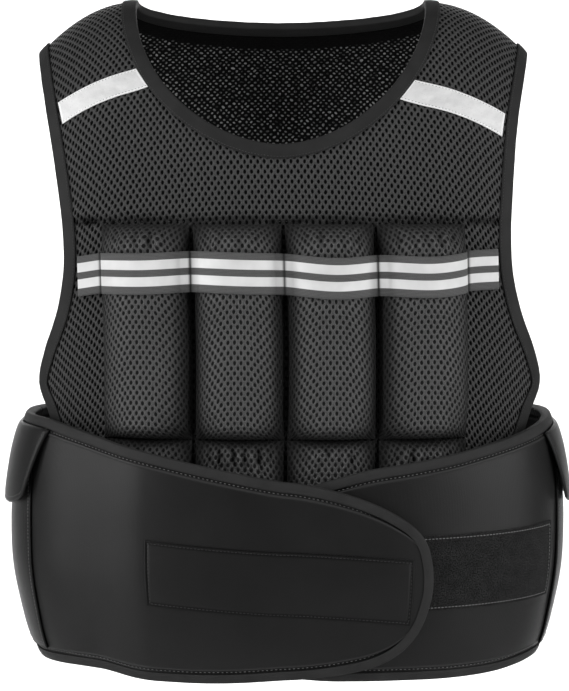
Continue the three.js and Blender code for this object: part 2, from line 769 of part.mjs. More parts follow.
function addBelt() {
  const row = (column) => backOutline.map((o) => ({ turn: o.turn, drop: o[column] * beltHeight }));
  add("belt_wing_left", beltWallOf(leftWing, lapLift), beltCloth);
  add("belt_wing_right", beltWallOf(rightWing, noLift), beltCloth);
  add("belt_back", beltWallOf(backOutline, noLift), beltCloth);
  add("wing_binding_left", beltBinding(wingEdge(leftWing), lapLift, 1), bindingTape);
  add("wing_binding_right", beltBinding(wingEdge(rightWing), noLift, -1), bindingTape);
  add("belt_binding_top", beltBinding(row("top"), noLift, 1), bindingTape);
  add("belt_binding_bottom", beltBinding(row("bottom"), noLift, -1, () => true), bindingTape);
  const loop = beltPatch(
    rightWing, loopPatchFrom, loopPatchTo, loopPatchTop, loopPatchHeight, loopPatchSlant, noLift, loopPatchWall,
  );
  const plain = beltPatch(
    leftWing, frontPatchFrom, frontPatchTo, frontPatchTop, frontPatchHeight, frontPatchSlant, lapLift, frontPatchWall,
  );
  add("loop_patch", loop, loopPile);
  add("front_patch", plain, beltCloth);
  for (const [name, hand, front] of [
    ["left", -1, sidePocketFrontLeft],
    ["right", 1, sidePocketFrontRight],
  ]) {
    add(`side_pocket_${name}`, sidePocket(hand, front), beltCloth);
    add(`side_flap_${name}`, sideFlap(hand, front), beltCloth);
  }
}

addPanels();
addPockets();
addTapes();
addBelt();

export default vest;
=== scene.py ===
import math

import bpy
import numpy as np
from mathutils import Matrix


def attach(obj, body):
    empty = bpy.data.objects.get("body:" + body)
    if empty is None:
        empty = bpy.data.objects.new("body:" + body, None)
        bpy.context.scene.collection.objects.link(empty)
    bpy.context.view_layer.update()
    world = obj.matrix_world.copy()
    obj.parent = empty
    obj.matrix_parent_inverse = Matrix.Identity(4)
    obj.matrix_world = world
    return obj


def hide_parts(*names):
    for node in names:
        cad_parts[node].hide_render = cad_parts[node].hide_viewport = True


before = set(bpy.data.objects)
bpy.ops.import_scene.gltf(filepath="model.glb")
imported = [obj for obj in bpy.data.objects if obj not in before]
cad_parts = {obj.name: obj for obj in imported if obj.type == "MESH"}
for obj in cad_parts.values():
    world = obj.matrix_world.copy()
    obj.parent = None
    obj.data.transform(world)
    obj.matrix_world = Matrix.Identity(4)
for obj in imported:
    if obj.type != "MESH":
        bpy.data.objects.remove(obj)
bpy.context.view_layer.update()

MM = 0.001

# Sizes of the vest in millimetres. A pair with keys 1 and -1 is for the front and the back,
# or for the right and the left as the front is seen.
CLEARANCE = 0.3
HOOKED_GAP = 0.7
BODY_HALF_WIDTH, BODY_FRONT, BODY_BACK, BODY_SQUARE = 235, 112, 100, 2.3
CHEST_FALL, BACK_FALL, SIDE_LEAN = 165, 140, 5
PANEL_WALL, HEM_DROP = 4, 538
SHOULDER_HALF, NECK_HALF, NECK_SHIFT = 203.5, 123, -3
NECK_DROP_FRONT, NECK_DROP_BACK, NECK_SQUARE = 122, 15, 1.85
SHOULDER_DROP_LEFT, SHOULDER_DROP_RIGHT = 45, 39
BINDING_WIDTH, BINDING_WALL = 10.5, 1.3

POCKET_PITCH, POCKET_SHIFT, POCKET_WIDTH = 74, -3, 71
POCKET_EDGE, POCKET_SEAT = 1.2, 0.5
POCKET_CORNER_WIDE, POCKET_CORNER_TALL = 24, 26
UPPER_TOP = {1: 185, -1: 165}
UPPER_HEIGHT, UPPER_DEPTH, UPPER_HANG = 172, 24, 2.5
LOWER_TOP, LOWER_HEIGHT, LOWER_DEPTH, LOWER_RISE = 364, 164, 15, 3
SEAM_ABOVE = 2.5
SEAM_DROP = {side: top - SEAM_ABOVE for side, top in UPPER_TOP.items()}
SLACK, FILLING_PRESSURE, SETTLE_FRAMES, MOST_MOVED = 0.12, 3.0, 18, 4.5

BAND_WIDTH, BAND_WALL, BAND_DROP = 33, 1.2, 225
STRIPE_WIDTH, STRIPE_WALL, STRIPE_TILT = 20, 0.8, 0.03
STRIPE_TURN = {-1: 0.61, 1: 0.655}

BELT_TOP, BELT_HEIGHT = 345, 208
BELT_HALF_WIDTH, BELT_FRONT, BELT_BACK, BELT_SQUARE = 226, 138, 124, 2.6
BELT_WALL, BELT_LEAN = 5, 3
BELT_BINDING_WIDTH, BELT_BINDING_WALL = 6.5, 1.2
BELT_SEAM, SEAM_GAP = 98, 0.25
LAP_START, LAP_END = -42, -24
LAP_HEIGHT = BELT_WALL + 2 * (HOOKED_GAP + BELT_BINDING_WALL) + 2 * CLEARANCE
PATCH_SEAT, SHEET_STAND = 0.4, 0.35
LOOP_PATCH = dict(start=9, end=68, top=92, height=61, slant=-5, wall=1.2)
FRONT_PATCH = dict(start=-23.7, end=19.8, top=93, height=52, slant=16, wall=0.8)
SIDE_POCKET = dict(wall=2, bulge=3, mouth=44, bottom=191, turns=56)
SIDE_POCKET_FRONT = {-1: 63.5, 1: 73.5}
SIDE_POCKET_WIDE, SIDE_POCKET_TALL, SIDE_POCKET_STITCH = 200, 147, 4
FLAP_WIDE, FLAP_STITCH = 240, 4.5
TAPE_STITCH, PATCH_STITCH = 1.6, 2.6
FLAP = dict(wall=3, length=64, stand_off=8, overhang=7, taper=7, corner=0.16)

BODY_SECTIONS = np.array([  # drop, width, front, back, lean
    (0, 1, 1, 1, 0),
    (0.16, 1, 1, 1, -0.3),
    (0.3, 1, 1, 1, 0.2),
    (0.42, 0.983, 1, 1, 0.6),
    (0.54, 0.957, 0.99, 0.985, 0.85),
    (0.64, 0.932, 0.975, 0.97, 0.8),
    (0.77, 0.912, 0.96, 0.96, 0.7),
    (1, 0.905, 0.95, 0.95, 0.6),
])
ARM_EDGE = np.array([  # drop, out
    (0.078, 1), (0.12, 0.975), (0.18, 0.943), (0.24, 0.919), (0.3, 0.902),
    (0.36, 0.891), (0.42, 0.896), (0.48, 0.929), (0.54, 0.985), (0.59, 1.01),
    (0.64, 0.965), (0.7, 0.93), (1, 0.93),
])
BELT_SECTIONS = np.array([  # drop, width, front, back
    (0, 0.962, 0.955, 0.95),
    (0.08, 0.984, 0.972, 0.97),
    (0.25, 1, 0.995, 1),
    (0.45, 1.004, 1, 1),
    (0.62, 0.998, 1, 0.99),
    (0.79, 0.972, 0.985, 0.975),
    (0.9, 0.948, 0.965, 0.95),
    (1, 0.908, 0.935, 0.915),
])
LEFT_WING = np.array([  # turn, top, bottom
    (-98, 0.01, 0.975), (-84, 0.01, 0.972), (-70, 0.01, 0.97), (-59, 0.016, 0.967),
    (-48, 0.038, 0.965), (-38, 0.069, 0.97), (-29, 0.103, 0.98), (-20, 0.138, 0.987),
    (-12, 0.172, 0.99), (-5, 0.204, 0.985), (1, 0.237, 0.972), (7, 0.274, 0.953),
    (12.5, 0.318, 0.928), (17, 0.366, 0.888), (20.4, 0.415, 0.83), (22.5, 0.472, 0.76),
    (23.6, 0.55, 0.68), (23.9, 0.6, 0.64),
])
RIGHT_WING = np.array([
    (98, 0.01, 0.975), (84, 0.012, 0.967), (72, 0.028, 0.963), (60, 0.052, 0.975),
    (50, 0.076, 0.988), (40, 0.103, 0.996), (30, 0.135, 1), (20, 0.163, 1),
    (11, 0.19, 1), (3, 0.24, 0.995), (-4, 0.3, 0.965), (-9, 0.36, 0.91),
    (-12.5, 0.43, 0.83), (-14, 0.51, 0.7), (-14.5, 0.58, 0.63),
])
BAND_LINE = np.array([  # at, rise
    (-1, -0.08), (-0.86, 0.02), (-0.65, 0.03), (-0.43, 0.07), (-0.22, 0.04), (0, 0),
    (0.22, -0.09), (0.44, -0.03), (0.66, -0.06), (0.88, 0.07), (1, 0.1),
])

QUARTER = math.pi / 2
ANY_PHASE = 6.28


def along(rows, column, place):
    """Smooth curve through a table's rows, straight past its ends."""
    rows = rows if rows[0, 0] < rows[-1, 0] else rows[::-1]
    key, value = rows[:, 0], rows[:, column]
    before, after = np.r_[0, np.arange(len(key) - 1)], np.r_[np.arange(1, len(key)), len(key) - 1]
    slope = (value[after] - value[before]) / (key[after] - key[before])
    place = np.asarray(place, float)
    i = np.clip(np.searchsorted(key, place, side="right") - 1, 0, len(key) - 2)
    span = key[i + 1] - key[i]
    t = (place - key[i]) / span
    curve = (
        value[i] * (2 * t**3 - 3 * t**2 + 1)
        + value[i + 1] * (3 * t**2 - 2 * t**3)
        + span * (slope[i] * (t**3 - 2 * t**2 + t) + slope[i + 1] * (t**3 - t**2))
    )
    curve = np.where(place < key[0], value[0] + slope[0] * (place - key[0]), curve)
    return np.where(place > key[-1], value[-1] + slope[-1] * (place - key[-1]), curve)


def mix(a, b, share):
    return a + (b - a) * share


def ease(share):
    share = np.clip(share, 0, 1)
    return share**2 * (3 - 2 * share)


def unit(v):
    return v / np.maximum(np.linalg.norm(v, axis=-1, keepdims=True), 1e-9)


# The surface of the body
def ridge_height(x):
    """Height of the shoulders' ridge, which falls from the neck outwards."""
    out = np.maximum(0, np.abs(x - NECK_SHIFT) - NECK_HALF) / (SHOULDER_HALF - NECK_HALF)
    return -np.where(x < 0, SHOULDER_DROP_LEFT, SHOULDER_DROP_RIGHT) * out**2


def body_point(x, turn):
    """A point of the body: turn is 0 on the ridge, above 0 down the front, below 0 down the back."""
    x, turn = np.broadcast_arrays(np.asarray(x, float), np.asarray(turn, float))
    fall = np.where(turn > 0, CHEST_FALL, BACK_FALL)
    angle = np.minimum(np.abs(turn), 1) * QUARTER
    straight = np.maximum(0, np.abs(turn) - 1) * QUARTER
    z = ridge_height(x) - fall * (1 - np.cos(angle) + straight)
    drop = -z / HEM_DROP
    across = np.minimum(0.995, np.abs(x) / (BODY_HALF_WIDTH * along(BODY_SECTIONS, 1, drop)))
    rounded = (1 - across**BODY_SQUARE) ** (1 / BODY_SQUARE)
    front = -BODY_FRONT * along(BODY_SECTIONS, 2, drop)
    back = BODY_BACK * along(BODY_SECTIONS, 3, drop)
    y = np.where(turn > 0, front, back) * rounded * np.sin(angle)
    return np.stack([x + SIDE_LEAN * along(BODY_SECTIONS, 4, drop), y, z], -1)


def turn_at(x, drop, side):
    """The turn at which the body's surface has come down by a drop."""
    fall = CHEST_FALL if side > 0 else BACK_FALL
    share = (drop + ridge_height(x)) / fall
    bent = np.arccos(1 - np.clip(share, 0, 1)) / QUARTER
    return side * np.where(share < 1, bent, 1 + (share - 1) / QUARTER)


def body_slopes(x, turn):
    by_x = body_point(x + 0.5, turn) - body_point(x - 0.5, turn)
    by_turn = (body_point(x, turn + 0.004) - body_point(x, turn - 0.004)) / 0.008
    return by_x, by_turn


def on_body(x, turn, height=0.0):
    """A point at some height above the body's surface."""
    by_x, by_turn = body_slopes(x, turn)
    return body_point(x, turn) + unit(np.cross(by_turn, by_x)) * np.asarray(height, float)[..., None]


# The surface of the belt
def belt_point(turn, drop):
    """A point of the belt: turn in degrees from the front's middle, drop from the belt's top."""
    turn, drop = np.broadcast_arrays(np.asarray(turn, float), np.asarray(drop, float))
    share = drop / BELT_HEIGHT
    sine, cosine = np.sin(np.radians(turn)), np.cos(np.radians(turn))
    power = 2 / BELT_SQUARE
    front = -BELT_FRONT * along(BELT_SECTIONS, 2, share)
    back = BELT_BACK * along(BELT_SECTIONS, 3, share)
    x = BELT_HALF_WIDTH * along(BELT_SECTIONS, 1, share) * np.sign(sine) * np.abs(sine) ** power
    y = np.where(cosine > 0, front, back) * np.abs(cosine) ** power
    return np.stack([x + BELT_LEAN, y, -BELT_TOP - drop], -1)


def on_belt(turn, drop, height=0.0):
    """A point at some height above the belt's inner surface."""
    by_turn = belt_point(turn + 0.6, drop) - belt_point(turn - 0.6, drop)
    by_drop = belt_point(turn, drop + 0.6) - belt_point(turn, drop - 0.6)
    outward = unit(np.cross(by_drop, by_turn))
    return belt_point(turn, drop) + outward * np.asarray(height, float)[..., None]


def lap_lift(turn):
    """How far the upper wing is lifted, to lie over the lower one."""
    return LAP_HEIGHT * ease((turn - LAP_START) / (LAP_END - LAP_START))


def no_lift(turn):
    return np.zeros_like(np.asarray(turn, float))


# Small noises
def ripple(points, scale, seed):
    """Soft uneven swell of about -1 to 1 over points, from a few crossed waves."""
    rng = np.random.default_rng(seed)
    total = np.zeros(points.shape[:-1])
    for _ in range(5):
        direction = unit(rng.normal(size=3))
        wave = scale * mix(0.6, 1.7, rng.random())
        total += np.sin(points @ direction * (2 * math.pi / wave) + rng.random() * ANY_PHASE)
    return total / 2.6


# Meshes
def mesh_object(name, points, faces, uv=None, marks=None, material_of=None, materials=()):
    """A mesh in metres. uv is given for each point, marks are values for each point."""
    mesh = bpy.data.meshes.new(name)
    mesh.from_pydata((points * MM).tolist(), [], faces)
    if uv is not None:
        layer = mesh.uv_layers.new(name="cloth")
        corners = np.empty(len(mesh.loops), np.int32)
        mesh.loops.foreach_get("vertex_index", corners)
        layer.data.foreach_set("uv", (uv[corners] * MM).astype(np.float32).ravel())
    for key, values in (marks or {}).items():
        layer = mesh.attributes.new(key, "FLOAT", "POINT")
        layer.data.foreach_set("value", np.asarray(values, np.float32).ravel())
    for material in materials:
        mesh.materials.append(material)
    if material_of is not None:
        mesh.polygons.foreach_set("material_index", np.asarray(material_of, np.int32))
    mesh.polygons.foreach_set("use_smooth", [True] * len(mesh.polygons))
    mesh.validate()
    mesh.update()
    obj = bpy.data.objects.new(name, mesh)
    bpy.context.scene.collection.objects.link(obj)
    return obj


def wall_faces(rows, columns):
    """Faces of a wall between two grids of rows by columns, inner first, and which are inner."""
    r, c = np.meshgrid(np.arange(rows - 1), np.arange(columns - 1), indexing="ij")
    a, b = (r * columns + c).ravel(), (r * columns + c + 1).ravel()
    d, e = b + columns, a + columns
    count = rows * columns
    inner = np.stack([a, b, d, e], 1)
    outer = np.stack([a, e, d, b], 1) + count
    at = lambda i, j: i * columns + j
    rim = (
        [at(0, j) for j in range(columns - 1)]
        + [at(i, columns - 1) for i in range(rows - 1)]
        + [at(rows - 1, columns - 1 - j) for j in range(columns - 1)]
        + [at(rows - 1 - i, 0) for i in range(rows - 1)]
    )
    edge = [(p, count + p, count + q, q) for p, q in zip(rim, rim[1:] + rim[:1])]
    faces = inner.tolist() + outer.tolist() + edge
    return faces, [1] * len(inner) + [0] * (len(outer) + len(edge))


def facing_out(points, faces):
    """The faces, turned round if the closed mesh has its inside out."""
    fans = np.array([(face[0], face[k], face[k + 1]) for face in faces for k in range(1, len(face) - 1)])
    a, b, c = (points[fans[:, corner]] for corner in range(3))
    volume = (a * np.cross(b, c)).sum()
    return [tuple(reversed(face)) for face in faces] if volume < 0 else faces


def wall_object(name, inner, outer, uv, materials, inside=0, marks=None):
    """A closed wall between two grids of points. inside is the inner face's material."""
    rows, columns = inner.shape[:2]
    faces, is_inner = wall_faces(rows, columns)
    points = np.concatenate([inner.reshape(-1, 3), outer.reshape(-1, 3)])
    flat = uv.reshape(-1, 2)
    both = {k: np.concatenate([v.ravel(), v.ravel()]) for k, v in (marks or {}).items()}
    index = [inside if i else 0 for i in is_inner]
    faces = facing_out(points, faces)
    return mesh_object(name, points, faces, np.concatenate([flat, flat]), both, index, materials)


def carried_object(name, stations, ring, uv_run, uv_across, materials):
    """A closed profile carried along stations: stations is an array (station, corner, 3)."""
    count, size = stations.shape[:2]
    points = stations.reshape(-1, 3)
    faces = []
    for i in range(count if ring else count - 1):
        nxt = (i + 1) % count
        for k in range(size):
            m = (k + 1) % size
            faces.append((i * size + k, i * size + m, nxt * size + m, nxt * size + k))
    if not ring:
        faces.append(tuple(range(size))[::-1])
        faces.append(tuple((count - 1) * size + k for k in range(size)))
    uv = np.stack(np.broadcast_arrays(uv_run[:, None], uv_across[None, :]), -1).reshape(-1, 2)
    return mesh_object(name, points, facing_out(points, faces), uv, None, None, materials)


def run_length(points, axis=0):
    """Distance along points from the first one."""
    step = np.linalg.norm(np.diff(points, axis=axis), axis=-1)
    zero = np.zeros_like(np.take(step, [0], axis=axis))
    return np.concatenate([zero, np.cumsum(step, axis=axis)], axis=axis)


def cloth_lengths(grid):
    """Lengths over a grid of points, across from its middle column and down from its first row."""
    across = run_length(grid, 1)
    across = across - across[:, [grid.shape[1] // 2]]
    return np.stack([across, run_length(grid, 0)], -1)


# Materials
MIX_SHARE, MIX_A, MIX_B, MIX_RESULT = 0, 6, 7, 2  # a Mix node's sockets for colours
TO_MM = 1000.0


def link(tree, a, b):
    tree.links.new(a, b)


def math_node(tree, operation, a, b=None):
    node = tree.nodes.new("ShaderNodeMath")
    node.operation = operation
    for socket, value in zip(node.inputs, (a, b)):
        if isinstance(value, (int, float)):
            socket.default_value = value
        elif value is not None:
            link(tree, value, socket)
    return node.outputs[0]


def vector_node(tree, operation, a, b):
    """Vector maths, where b is a socket, a vector or the number to scale by."""
    node = tree.nodes.new("ShaderNodeVectorMath")
    node.operation = operation
    link(tree, a, node.inputs[0])
    socket = node.inputs["Scale"] if operation == "SCALE" else node.inputs[1]
    if isinstance(b, (float, tuple)):
        socket.default_value = b
    else:
        link(tree, b, socket)
    return node.outputs[0]


def map_range(tree, value, low, high, to_low=0.0, to_high=1.0, smooth=False):
    node = tree.nodes.new("ShaderNodeMapRange")
    node.interpolation_type = "SMOOTHSTEP" if smooth else "LINEAR"
    link(tree, value, node.inputs["Value"])
    for key, number in (("From Min", low), ("From Max", high), ("To Min", to_low), ("To Max", to_high)):
        node.inputs[key].default_value = number
    return node.outputs["Result"]


def noise(tree, vector, scale, detail=2.0, roughness=0.5):
    node = tree.nodes.new("ShaderNodeTexNoise")
    link(tree, vector, node.inputs["Vector"])
    node.inputs["Scale"].default_value = scale
    node.inputs["Detail"].default_value = detail
    node.inputs["Roughness"].default_value = roughness
    return node.outputs["Fac"]


def mix_color(tree, share, a, b):
    """A colour between a and b, each of which is a socket or a colour."""
    node = tree.nodes.new("ShaderNodeMix")
    node.data_type = "RGBA"
    link(tree, share, node.inputs[MIX_SHARE])
    for socket, value in ((node.inputs[MIX_A], a), (node.inputs[MIX_B], b)):
        if isinstance(value, tuple):
            socket.default_value = value
        else:
            link(tree, value, socket)
    return node.outputs[MIX_RESULT]


def grey(value):
    return (value, value, value, 1.0)


def new_group(name, inputs, outputs):
    """A shader node group with float, vector or colour sockets."""
    kinds = {"float": "NodeSocketFloat", "vector": "NodeSocketVector", "color": "NodeSocketColor"}
    tree = bpy.data.node_groups.new(name, "ShaderNodeTree")
    for label, kind, value in inputs:
        socket = tree.interface.new_socket(label, in_out="INPUT", socket_type=kinds[kind])
        if value is not None:
            socket.default_value = value
    for label, kind in outputs:
        tree.interface.new_socket(label, in_out="OUTPUT", socket_type=kinds[kind])
    return tree, tree.nodes.new("NodeGroupInput"), tree.nodes.new("NodeGroupOutput")


def knit_group():
    """Knitted mesh: staggered upright oval holes between rounded threads, in millimetres."""
    tree, given, out = new_group(
        "mesh_knit",
        [("Cloth", "vector", None), ("Pitch", "float", 5.4), ("Row", "float", 4.1),
         ("Hole Width", "float", 2.5), ("Hole Height", "float", 3.7), ("Wander", "float", 0.25)],
        [("Hole", "float"), ("Height", "float"), ("Thread", "float")],
    )
    pitch, row = given.outputs["Pitch"], given.outputs["Row"]
    place = vector_node(tree, "SCALE", given.outputs["Cloth"], TO_MM)
    uneven = tree.nodes.new("ShaderNodeTexNoise")
    uneven.inputs["Scale"].default_value = 0.11
    uneven.inputs["Detail"].default_value = 2.0
    link(tree, place, uneven.inputs["Vector"])
    shift = vector_node(tree, "SUBTRACT", uneven.outputs["Color"], (0.5, 0.5, 0.5))
    shift = vector_node(tree, "SCALE", shift, math_node(tree, "MULTIPLY", given.outputs["Wander"], pitch))
    split = tree.nodes.new("ShaderNodeSeparateXYZ")
    link(tree, vector_node(tree, "ADD", place, shift), split.inputs[0])
    v = math_node(tree, "DIVIDE", split.outputs[1], row)
    odd = math_node(tree, "FLOORED_MODULO", math_node(tree, "FLOOR", v), 2.0)
    odd = math_node(tree, "MULTIPLY", odd, 0.5)
    u = math_node(tree, "ADD", math_node(tree, "DIVIDE", split.outputs[0], pitch), odd)
    across = math_node(tree, "SUBTRACT", math_node(tree, "FRACT", u), 0.5)
    down = math_node(tree, "SUBTRACT", math_node(tree, "FRACT", v), 0.5)

    def from_hole(across, down):
        """Distance from a hole's middle, which is 1 at its rim."""
        parts = []
        for share, cell, size in ((across, pitch, "Hole Width"), (down, row, "Hole Height")):
            half = math_node(tree, "MULTIPLY", given.outputs[size], 0.5)
            part = math_node(tree, "DIVIDE", math_node(tree, "MULTIPLY", share, cell), half)
            parts.append(math_node(tree, "POWER", math_node(tree, "ABSOLUTE", part), 2.0))
        return math_node(tree, "SQRT", math_node(tree, "ADD", *parts))

    # Holes of the next rows reach into this one where they are taller than the row.
    beside = math_node(tree, "SUBTRACT", 0.5, math_node(tree, "ABSOLUTE", across))
    above = math_node(tree, "SUBTRACT", 1.0, math_node(tree, "ABSOLUTE", down))
    far = math_node(tree, "MINIMUM", from_hole(across, down), from_hole(beside, above))
    strand = noise(tree, place, 1.9, 3.0, 0.6)
    height = map_range(tree, far, 0.75, 1.55, smooth=True)
    height = math_node(tree, "ADD", height, math_node(tree, "MULTIPLY", strand, 0.35))
    link(tree, map_range(tree, far, 1.12, 0.78, smooth=True), out.inputs["Hole"])
    link(tree, height, out.inputs["Height"])
    link(tree, map_range(tree, strand, 0.3, 0.7), out.inputs["Thread"])
    return tree


def grain_group():
    """Fine even cloth: crossed threads, so many for each millimetre, under a light mottling."""
    tree, given, out = new_group(
        "cloth_grain",
        [("Place", "vector", None), ("Threads", "float", 1.4), ("Mottle", "float", 0.03)],
        [("Height", "float"), ("Shade", "float")],
    )
    place = vector_node(tree, "SCALE", given.outputs["Place"], TO_MM)
    split = tree.nodes.new("ShaderNodeSeparateXYZ")
    link(tree, place, split.inputs[0])
    waves = []
    for axis in (0, 1):
        turns = math_node(tree, "MULTIPLY", split.outputs[axis], given.outputs["Threads"])
        waves.append(math_node(tree, "SINE", math_node(tree, "MULTIPLY", turns, 2 * math.pi)))
    crossed = math_node(tree, "MULTIPLY", math_node(tree, "MULTIPLY", *waves), 0.25)
    height = math_node(tree, "ADD", crossed, noise(tree, place, 1.2, 4.0, 0.65))
    broad = tree.nodes.new("ShaderNodeTexNoise")
    broad.inputs["Detail"].default_value = 3.0
    link(tree, place, broad.inputs["Vector"])
    link(tree, given.outputs["Mottle"], broad.inputs["Scale"])
    link(tree, height, out.inputs["Height"])
    link(tree, map_range(tree, broad.outputs["Fac"], 0.3, 0.7), out.inputs["Shade"])
    return tree


KNIT = knit_group()
GRAIN = grain_group()


def new_material(name, rough, specular, sheen=0.0, sheen_rough=0.5):
    material = bpy.data.materials.new(name)
    material.use_nodes = True
    tree = material.node_tree
    shader = tree.nodes["Principled BSDF"]
    shader.inputs["Roughness"].default_value = rough
    shader.inputs["Specular IOR Level"].default_value = specular
    shader.inputs["Sheen Weight"].default_value = sheen
    shader.inputs["Sheen Roughness"].default_value = sheen_rough
    return material, tree, shader


def cloth_uv(tree):
    node = tree.nodes.new("ShaderNodeUVMap")
    node.uv_map = "cloth"
    return node.outputs[0]


def object_place(tree):
    return tree.nodes.new("ShaderNodeTexCoord").outputs["Object"]


def mark(tree, name):
    node = tree.nodes.new("ShaderNodeAttribute")
    node.attribute_name = name
    return node.outputs["Fac"]


def use_group(tree, group, **values):
    node = tree.nodes.new("ShaderNodeGroup")
    node.node_tree = group
    for key, value in values.items():
        socket = node.inputs[key.replace("_", " ")]
        if isinstance(value, (int, float)):
            socket.default_value = value
        else:
            link(tree, value, socket)
    return node


def add_bump(tree, shader, height, distance, strength=1.0):
    node = tree.nodes.new("ShaderNodeBump")
    node.inputs["Strength"].default_value = strength
    node.inputs["Distance"].default_value = distance
    link(tree, height, node.inputs["Height"])
    link(tree, node.outputs[0], shader.inputs["Normal"])


def mesh_material(name, light, dark, shine, relief, hole_width=2.5, hole_height=3.7):
    """Black knit, darker and duller in its holes, and with painted shade, darker and duller, along seams,
    down the pockets' sides, in their corners and behind the pockets.
    """
    material, tree, shader = new_material(name, 0.4, shine)
    knit = use_group(tree, KNIT, Cloth=cloth_uv(tree), Hole_Width=hole_width, Hole_Height=hole_height)
    threads = mix_color(tree, knit.outputs["Thread"], grey(dark), grey(light))
    # Painted shade: the threads are darkened to near black along seams, down the pockets' sides, in their
    # corners and behind the pockets.
    painted_shade = map_range(tree, mark(tree, "painted_shade"), 0, 1, 0.0, 0.88)
    threads = mix_color(tree, painted_shade, threads, grey(0.0015))
    color = mix_color(tree, knit.outputs["Hole"], threads, grey(0.0006))
    link(tree, color, shader.inputs["Base Color"])
    dull = math_node(tree, "MAXIMUM", knit.outputs["Hole"], painted_shade)
    link(tree, map_range(tree, dull, 0, 1, 0.38, 0.95), shader.inputs["Roughness"])
    add_bump(tree, shader, knit.outputs["Height"], relief)
    return material


def lining_material():
    """Inside of the panels: black spacer mesh with small pale dots, plain near its edges."""
    material, tree, shader = new_material("mesh_lining", 0.8, 0.12)
    uv = cloth_uv(tree)
    knit = use_group(tree, KNIT, Cloth=uv, Pitch=5.6, Row=2.9,
                     Hole_Width=2.3, Hole_Height=2.0, Wander=0.9)
    patchy = map_range(tree, noise(tree, uv, 130.0, 3.0, 0.7), 0.36, 0.62)
    plain = map_range(tree, mark(tree, "from_edge"), 26.0, 29.0)
    dots = math_node(tree, "MULTIPLY", math_node(tree, "MULTIPLY", knit.outputs["Hole"], plain),
                     map_range(tree, patchy, 0, 1, 0.1, 1.0))
    color = mix_color(tree, dots, grey(0.0015), grey(0.34))
    link(tree, color, shader.inputs["Base Color"])
    add_bump(tree, shader, knit.outputs["Hole"], 0.0006, 0.6)
    return material


def tape_material(name, shade):
    """Narrow woven tape with fine ribs along it."""
    material, tree, shader = new_material(name, 0.6, 0.16, sheen=0.015, sheen_rough=0.4)
    uv = cloth_uv(tree)
    grain = use_group(tree, GRAIN, Place=uv, Threads=0.9, Mottle=0.05)
    color = mix_color(tree, grain.outputs["Shade"], grey(shade * 0.85), grey(shade * 1.15))
    link(tree, color, shader.inputs["Base Color"])
    add_bump(tree, shader, grain.outputs["Height"], 0.00025, 0.8)
    return material


def belt_material():
    """Smooth foam-backed cloth with a very fine face."""
    material, tree, shader = new_material("belt_cloth", 0.38, 0.19, sheen=0.01)
    grain = use_group(tree, GRAIN, Place=object_place(tree), Threads=1.1, Mottle=0.02)
    color = mix_color(tree, grain.outputs["Shade"], grey(0.0098), grey(0.013))
    # Painted highlight: lighter along the ridge beside each binding. Painted shade: near black in the grooves
    # of seams and bindings.
    color = mix_color(tree, mark(tree, "raised"), color, grey(0.03))
    color = mix_color(tree, map_range(tree, mark(tree, "painted_shade"), 0, 1, 0.0, 0.9), color, grey(0.001))
    link(tree, color, shader.inputs["Base Color"])
    add_bump(tree, shader, grain.outputs["Height"], 0.00012, 0.7)
    return material


def pile_material():
    """Looped pile of the fastening patch."""
    material, tree, shader = new_material("loop_pile", 0.95, 0.08, sheen=0.03, sheen_rough=0.7)
    uv = cloth_uv(tree)
    fuzz = noise(tree, uv, 900.0, 5.0, 0.75)
    worn = map_range(tree, noise(tree, uv, 90.0, 3.0), 0.2, 0.8, 0.5, 1.3)
    shade = math_node(tree, "MULTIPLY", map_range(tree, fuzz, 0.42, 0.62), worn)
    link(tree, mix_color(tree, shade, grey(0.0008), grey(0.036)), shader.inputs["Base Color"])
    add_bump(tree, shader, fuzz, 0.0008)
    return material


def reflective_material():
    """Silver tape, with faint clouds and a lighter rim within about two millimetres of its edge."""
    material, tree, shader = new_material("reflective_tape", 0.45, 0.5)
    uv = cloth_uv(tree)
    clouds = map_range(tree, noise(tree, uv, 55.0, 4.0, 0.6), 0.32, 0.68)
    specks = map_range(tree, noise(tree, uv, 900.0, 1.0), 0.66, 0.74)
    rim = map_range(tree, mark(tree, "from_edge"), 0.9, 2.2)
    face = mix_color(tree, clouds, grey(0.60), grey(0.80))
    face = mix_color(tree, rim, grey(0.92), face)
    face = mix_color(tree, math_node(tree, "MULTIPLY", specks, 0.35), face, grey(0.25))
    link(tree, face, shader.inputs["Base Color"])
    add_bump(tree, shader, noise(tree, uv, 700.0, 2.0), 0.00015, 0.6)
    return material


